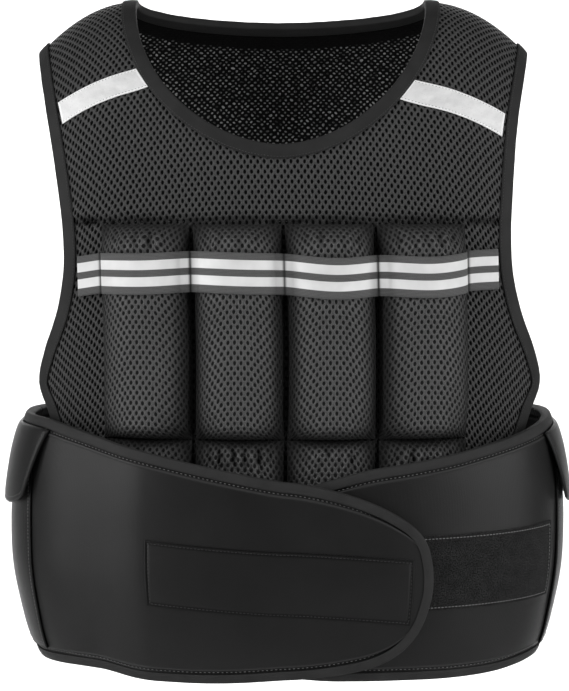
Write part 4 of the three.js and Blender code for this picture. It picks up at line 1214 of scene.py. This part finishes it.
def side_flap(name, hand):
    front = SIDE_POCKET_FRONT[hand]
    start, stop = front - FLAP["overhang"], front + SIDE_POCKET["turns"] + FLAP["overhang"]
    outline = LEFT_WING if hand < 0 else RIGHT_WING

    def place(share, down, up):
        turn = hand * mix(start, stop, share)
        corner = np.maximum(0, np.abs(2 * share - 1) - 0.6) / 0.4
        length = FLAP["length"] * (1 - FLAP["corner"] * corner**2)
        seam = np.minimum(np.abs(turn), BELT_SEAM)
        top = along(outline, 1, hand * seam) * BELT_HEIGHT + BELT_BINDING_WIDTH + 3 * CLEARANCE
        narrowed = turn + hand * FLAP["taper"] * down * (1 - 2 * share)
        stand = PATCH_SEAT + FLAP["stand_off"] * down**0.6
        return on_belt(narrowed, top + down * length, BELT_WALL + stand + up)

    share, down = np.broadcast_arrays(np.linspace(0, 1, 84)[:, None], np.linspace(0, 1, 34)[None, :])
    rim = np.minimum(np.minimum(share, 1 - share) * FLAP_WIDE, (1 - down) * FLAP["length"])
    rounded = 0.9 * (1 - np.exp(-rim / 1.2)) - 0.9
    seam = -0.45 * np.exp(-((rim - 4.5) / 1.2) ** 2)
    inner = place(share, down, -0.5 * rounded)
    outer = place(share, down, FLAP["wall"] + rounded + seam)
    length = run_length(outer, 0)
    # Painted shade in the groove of the flap's seam.
    painted_shade = np.exp(-(((rim - 4.3) / 0.8) ** 2))
    lengths = np.stack([length, down * FLAP["length"]], -1)
    obj = wall_object(name + "_cloth", inner, outer, lengths, [BELT], marks={"painted_shade": painted_shade})
    finished(obj, "belt_cloth", name)
    return three_sides(place, FLAP_STITCH / FLAP_WIDE, FLAP_STITCH / FLAP["length"], FLAP["wall"] - 0.35)


# Stitches
def stitch_tree():
    """Short rounded stitches laid end to end along a curve, for as long as it runs."""
    tree = bpy.data.node_groups.new("stitch_row", "GeometryNodeTree")
    face = tree.interface
    face.new_socket("Geometry", in_out="INPUT", socket_type="NodeSocketGeometry")
    pitch = face.new_socket("Pitch", in_out="INPUT", socket_type="NodeSocketFloat")
    length = face.new_socket("Length", in_out="INPUT", socket_type="NodeSocketFloat")
    thick = face.new_socket("Thickness", in_out="INPUT", socket_type="NodeSocketFloat")
    stuff = face.new_socket("Thread", in_out="INPUT", socket_type="NodeSocketMaterial")
    face.new_socket("Geometry", in_out="OUTPUT", socket_type="NodeSocketGeometry")
    nodes, links = tree.nodes, tree.links
    given, out = nodes.new("NodeGroupInput"), nodes.new("NodeGroupOutput")
    spaced = nodes.new("GeometryNodeResampleCurve")
    spaced.mode = "LENGTH"
    links.new(given.outputs["Geometry"], spaced.inputs["Curve"])
    links.new(given.outputs["Pitch"], spaced.inputs["Length"])
    grain = nodes.new("GeometryNodeMeshUVSphere")
    grain.inputs["Segments"].default_value = 5
    grain.inputs["Rings"].default_value = 3
    grain.inputs["Radius"].default_value = 1.0
    size = nodes.new("ShaderNodeCombineXYZ")
    half = nodes.new("ShaderNodeMath")
    half.operation = "MULTIPLY"
    half.inputs[1].default_value = 0.5
    links.new(given.outputs["Length"], half.inputs[0])
    thin = nodes.new("ShaderNodeMath")
    thin.operation = "MULTIPLY"
    thin.inputs[1].default_value = 0.5
    links.new(given.outputs["Thickness"], thin.inputs[0])
    links.new(thin.outputs[0], size.inputs["X"])
    links.new(thin.outputs[0], size.inputs["Y"])
    links.new(half.outputs[0], size.inputs["Z"])
    tangent = nodes.new("GeometryNodeInputTangent")
    turn = nodes.new("FunctionNodeAlignRotationToVector")
    turn.axis = "Z"
    links.new(tangent.outputs[0], turn.inputs["Vector"])
    laid = nodes.new("GeometryNodeInstanceOnPoints")
    links.new(spaced.outputs[0], laid.inputs["Points"])
    links.new(grain.outputs["Mesh"], laid.inputs["Instance"])
    links.new(turn.outputs[0], laid.inputs["Rotation"])
    links.new(size.outputs[0], laid.inputs["Scale"])
    real = nodes.new("GeometryNodeRealizeInstances")
    links.new(laid.outputs[0], real.inputs[0])
    painted = nodes.new("GeometryNodeSetMaterial")
    links.new(real.outputs[0], painted.inputs["Geometry"])
    links.new(given.outputs["Thread"], painted.inputs["Material"])
    links.new(painted.outputs[0], out.inputs[0])
    sockets = dict(pitch=pitch, length=length, thick=thick, stuff=stuff)
    return tree, {key: socket.identifier for key, socket in sockets.items()}


STITCH_TREE, STITCH_INPUTS = stitch_tree()


def made_real(obj, name):
    """Turns an object with a modifier into a plain mesh object with the given name."""
    graph = bpy.context.evaluated_depsgraph_get()
    mesh = bpy.data.meshes.new_from_object(obj.evaluated_get(graph))
    obj.modifiers.clear()
    plain = bpy.data.objects.new(name, mesh)
    bpy.context.scene.collection.objects.link(plain)
    bpy.data.objects.remove(obj)
    return plain


def stitches(name, runs, slot, thread=THREAD, pitch=3.0, length=2.1, thick=0.55):
    """Rows of stitches along runs of points in millimetres."""
    data = bpy.data.curves.new(name + "_line", "CURVE")
    data.dimensions = "3D"
    for points, closed in runs:
        spline = data.splines.new("POLY")
        spline.points.add(len(points) - 1)
        flat = np.concatenate([points * MM, np.ones((len(points), 1))], 1)
        spline.points.foreach_set("co", flat.astype(np.float32).ravel())
        spline.use_cyclic_u = closed
    obj = bpy.data.objects.new(name + "_line", data)
    bpy.context.scene.collection.objects.link(obj)
    modifier = obj.modifiers.new("stitches", "NODES")
    modifier.node_group = STITCH_TREE
    modifier[STITCH_INPUTS["pitch"]] = pitch * MM
    modifier[STITCH_INPUTS["length"]] = length * MM
    modifier[STITCH_INPUTS["thick"]] = thick * MM
    modifier[STITCH_INPUTS["stuff"]] = thread
    finished(made_real(obj, name), slot)


# Making the vest
def make_panels():
    panel_object("front_panel", 1)
    panel_object("back_panel", -1)
    body_binding("neck_binding", *neck_ring(), True, 1)
    for hand, word in ((-1, "left"), (1, "right")):
        body_binding(f"arm_binding_{word}", *arm_run(hand), False, -hand)


def make_pockets():
    forms = []
    for word, side in (("front", 1), ("back", -1)):
        for column in range(4):
            for row, upper in (("upper", True), ("lower", False)):
                name, seed = f"{word}_pocket_{row}_{column + 1}", 101 + len(forms)
                forms.append(pocket_form(name, column, side, upper, seed))
    settle(forms)
    for form in forms:
        weight_pocket(form)
    end = SHOULDER_HALF * 0.9 - BINDING_WIDTH
    x = np.linspace(-end, end, 220)
    in_seam = np.full_like(x, PANEL_WALL - 2.0)
    runs = [(on_body(x, turn_at(x, SEAM_DROP[side], side), in_seam), False) for side in (1, -1)]
    stitches("pocket_seam_stitches", runs, "spacer_mesh", pitch=2.8, length=2.0, thick=0.6)


def make_tapes():
    band_object("chest_band", 1)
    band_object("back_band", -1)
    for hand, word in ((-1, "left"), (1, "right")):
        stripe_object(f"shoulder_stripe_{word}", hand)


def patch_frame(outer, inset):
    """A run of points round a patch, some way inside its edge."""
    rows, columns = outer.shape[:2]
    length = run_length(outer[:, columns // 2][None], 1)[0]
    width = run_length(outer[rows // 2][None], 1)[0]
    i0, i1 = np.searchsorted(length, inset), np.searchsorted(length, length[-1] - inset)
    j0, j1 = np.searchsorted(width, inset), np.searchsorted(width, width[-1] - inset)
    return np.concatenate([outer[i0:i1, j0], outer[i1, j0:j1], outer[i0 + 1:i1 + 1, j1][::-1],
                           outer[i0, j0 + 1:j1 + 1][::-1]])


def make_belt():
    belt_row = dict(pitch=3.6, length=1.9, thick=0.8)
    back_row = dict(pitch=3.4, length=2.3, thick=0.9)
    runs = []
    for word, table, lift, hand, seed in (
        ("left", LEFT_WING, lap_lift, 1, 11),
        ("right", RIGHT_WING, no_lift, -1, 12),
    ):
        turn = fine_rows(table, 10)
        top, bottom = along(table, 1, turn) * BELT_HEIGHT, along(table, 2, turn) * BELT_HEIGHT
        belt_wall(f"belt_wing_{word}", turn, top, bottom, lift, seed)
        edge_turn = np.concatenate([turn, turn[::-1]])
        edge_drop = np.concatenate([top, bottom[::-1]])
        runs.append((belt_binding(f"wing_binding_{word}", edge_turn, edge_drop, lift, hand), False))
    stitches("wing_stitches", runs, "belt_cloth", PALE_THREAD, **belt_row)

    turn = np.linspace(BELT_SEAM + SEAM_GAP, 360 - BELT_SEAM - SEAM_GAP, 150)
    top = np.full_like(turn, LEFT_WING[0, 1] * BELT_HEIGHT)
    bottom = np.full_like(turn, float(BELT_HEIGHT))
    belt_wall("belt_back", turn, top, bottom, no_lift, 13)
    runs = []
    for word, drop, hand in (("top", top, 1), ("bottom", bottom, -1)):
        row = belt_binding(f"belt_binding_{word}", turn, drop, no_lift, hand)
        runs.append((row, False))
    stitches("belt_back_stitches", runs, "belt_cloth", PALE_THREAD, **back_row)

    loop = belt_patch("loop_patch", "pile", LOOP_PATCH, no_lift, PILE, "loop_pile")
    plain = belt_patch("front_patch", "cloth", FRONT_PATCH, lap_lift, BELT, "belt_cloth")
    loop_row, plain_row = patch_frame(loop, PATCH_STITCH), patch_frame(plain, PATCH_STITCH)
    stitches("loop_patch_stitches", [(loop_row, True)], "loop_pile", PALE_THREAD, length=2.3, thick=0.9)
    stitches("front_patch_stitches", [(plain_row, True)], "belt_cloth", length=2.2, thick=0.7)

    for hand, word in ((-1, "left"), (1, "right")):
        pocket_row = side_pocket(f"side_pocket_{word}", hand)
        flap_row = side_flap(f"side_flap_{word}", hand)
        stitches(f"side_pocket_{word}_stitches", [(pocket_row, False)], "belt_cloth", PALE_THREAD)
        stitches(f"side_flap_{word}_stitches", [(flap_row, False)], "belt_cloth", PALE_THREAD)


# Floor and light
def aim(obj, target):
    direction = np.array(target) - np.array(obj.location)
    flat = math.hypot(direction[0], direction[1])
    obj.rotation_euler = (math.atan2(flat, -direction[2]), 0, math.atan2(-direction[0], direction[1]))


def softbox(name, location, target, width, height, power):
    light = bpy.data.lights.new(name, "AREA")
    light.shape = "RECTANGLE"
    light.size, light.size_y = width, height
    light.energy = power
    obj = bpy.data.objects.new(name, light)
    obj.location = location
    bpy.context.scene.collection.objects.link(obj)
    aim(obj, target)


def make_studio():
    material = bpy.data.materials.new("pale_floor")
    material.use_nodes = True
    shader = material.node_tree.nodes["Principled BSDF"]
    shader.inputs["Base Color"].default_value = (0.86, 0.86, 0.86, 1)
    shader.inputs["Roughness"].default_value = 0.9
    level, reach, bend = -1250.0, 5200.0, 900.0
    profile = [(-reach, level), (reach - bend, level)]
    for a in np.linspace(0, QUARTER, 12):
        profile.append((reach - bend + bend * math.sin(a), level + bend - bend * math.cos(a)))
    profile.append((reach, level + 5200))
    points, faces = [], []
    for y, z in profile:
        points += [(-7000, y, z), (7000, y, z)]
    for i in range(len(profile) - 1):
        faces.append((2 * i, 2 * i + 1, 2 * i + 3, 2 * i + 2))
    floor = mesh_object("pale_floor", np.array(points), faces, materials=[material])
    world = bpy.data.worlds.new("studio")
    world.use_nodes = True
    background = world.node_tree.nodes["Background"]
    background.inputs["Color"].default_value = (1, 1, 1, 1)
    background.inputs["Strength"].default_value = 0.05
    bpy.context.scene.world = world
    softbox("left_softbox", (-2.3, -0.66, 0.3), (0, 0, -0.28), 0.5, 2.4, 30)
    softbox("right_softbox", (2.3, -0.66, 0.3), (0, 0, -0.28), 0.5, 2.4, 26)
    softbox("left_strip", (-1.75, -1.6, 0.1), (0, 0, -0.28), 0.22, 1.8, 22)
    softbox("right_strip", (1.75, -1.6, 0.1), (0, 0, -0.28), 0.22, 1.8, 19)
    softbox("top_softbox", (0.0, -1.3, 1.9), (0, 0, -0.25), 1.4, 1.2, 12)
    softbox("back_wall_light", (0.0, 2.2, 1.6), (0, 5.0, 0.2), 3.4, 1.6, 230)
    camera = bpy.data.cameras.new("camera")
    camera.lens, camera.sensor_width = 121.2, 36
    camera.clip_end = 60
    obj = bpy.data.objects.new("camera", camera)
    obj.location = (0, -2.0, -0.17)
    bpy.context.scene.collection.objects.link(obj)
    aim(obj, (0, 0, -0.290))
    bpy.context.scene.camera = obj
    bpy.context.scene.view_settings.view_transform = "Standard"


make_panels()
make_pockets()
make_tapes()
make_belt()
make_studio()
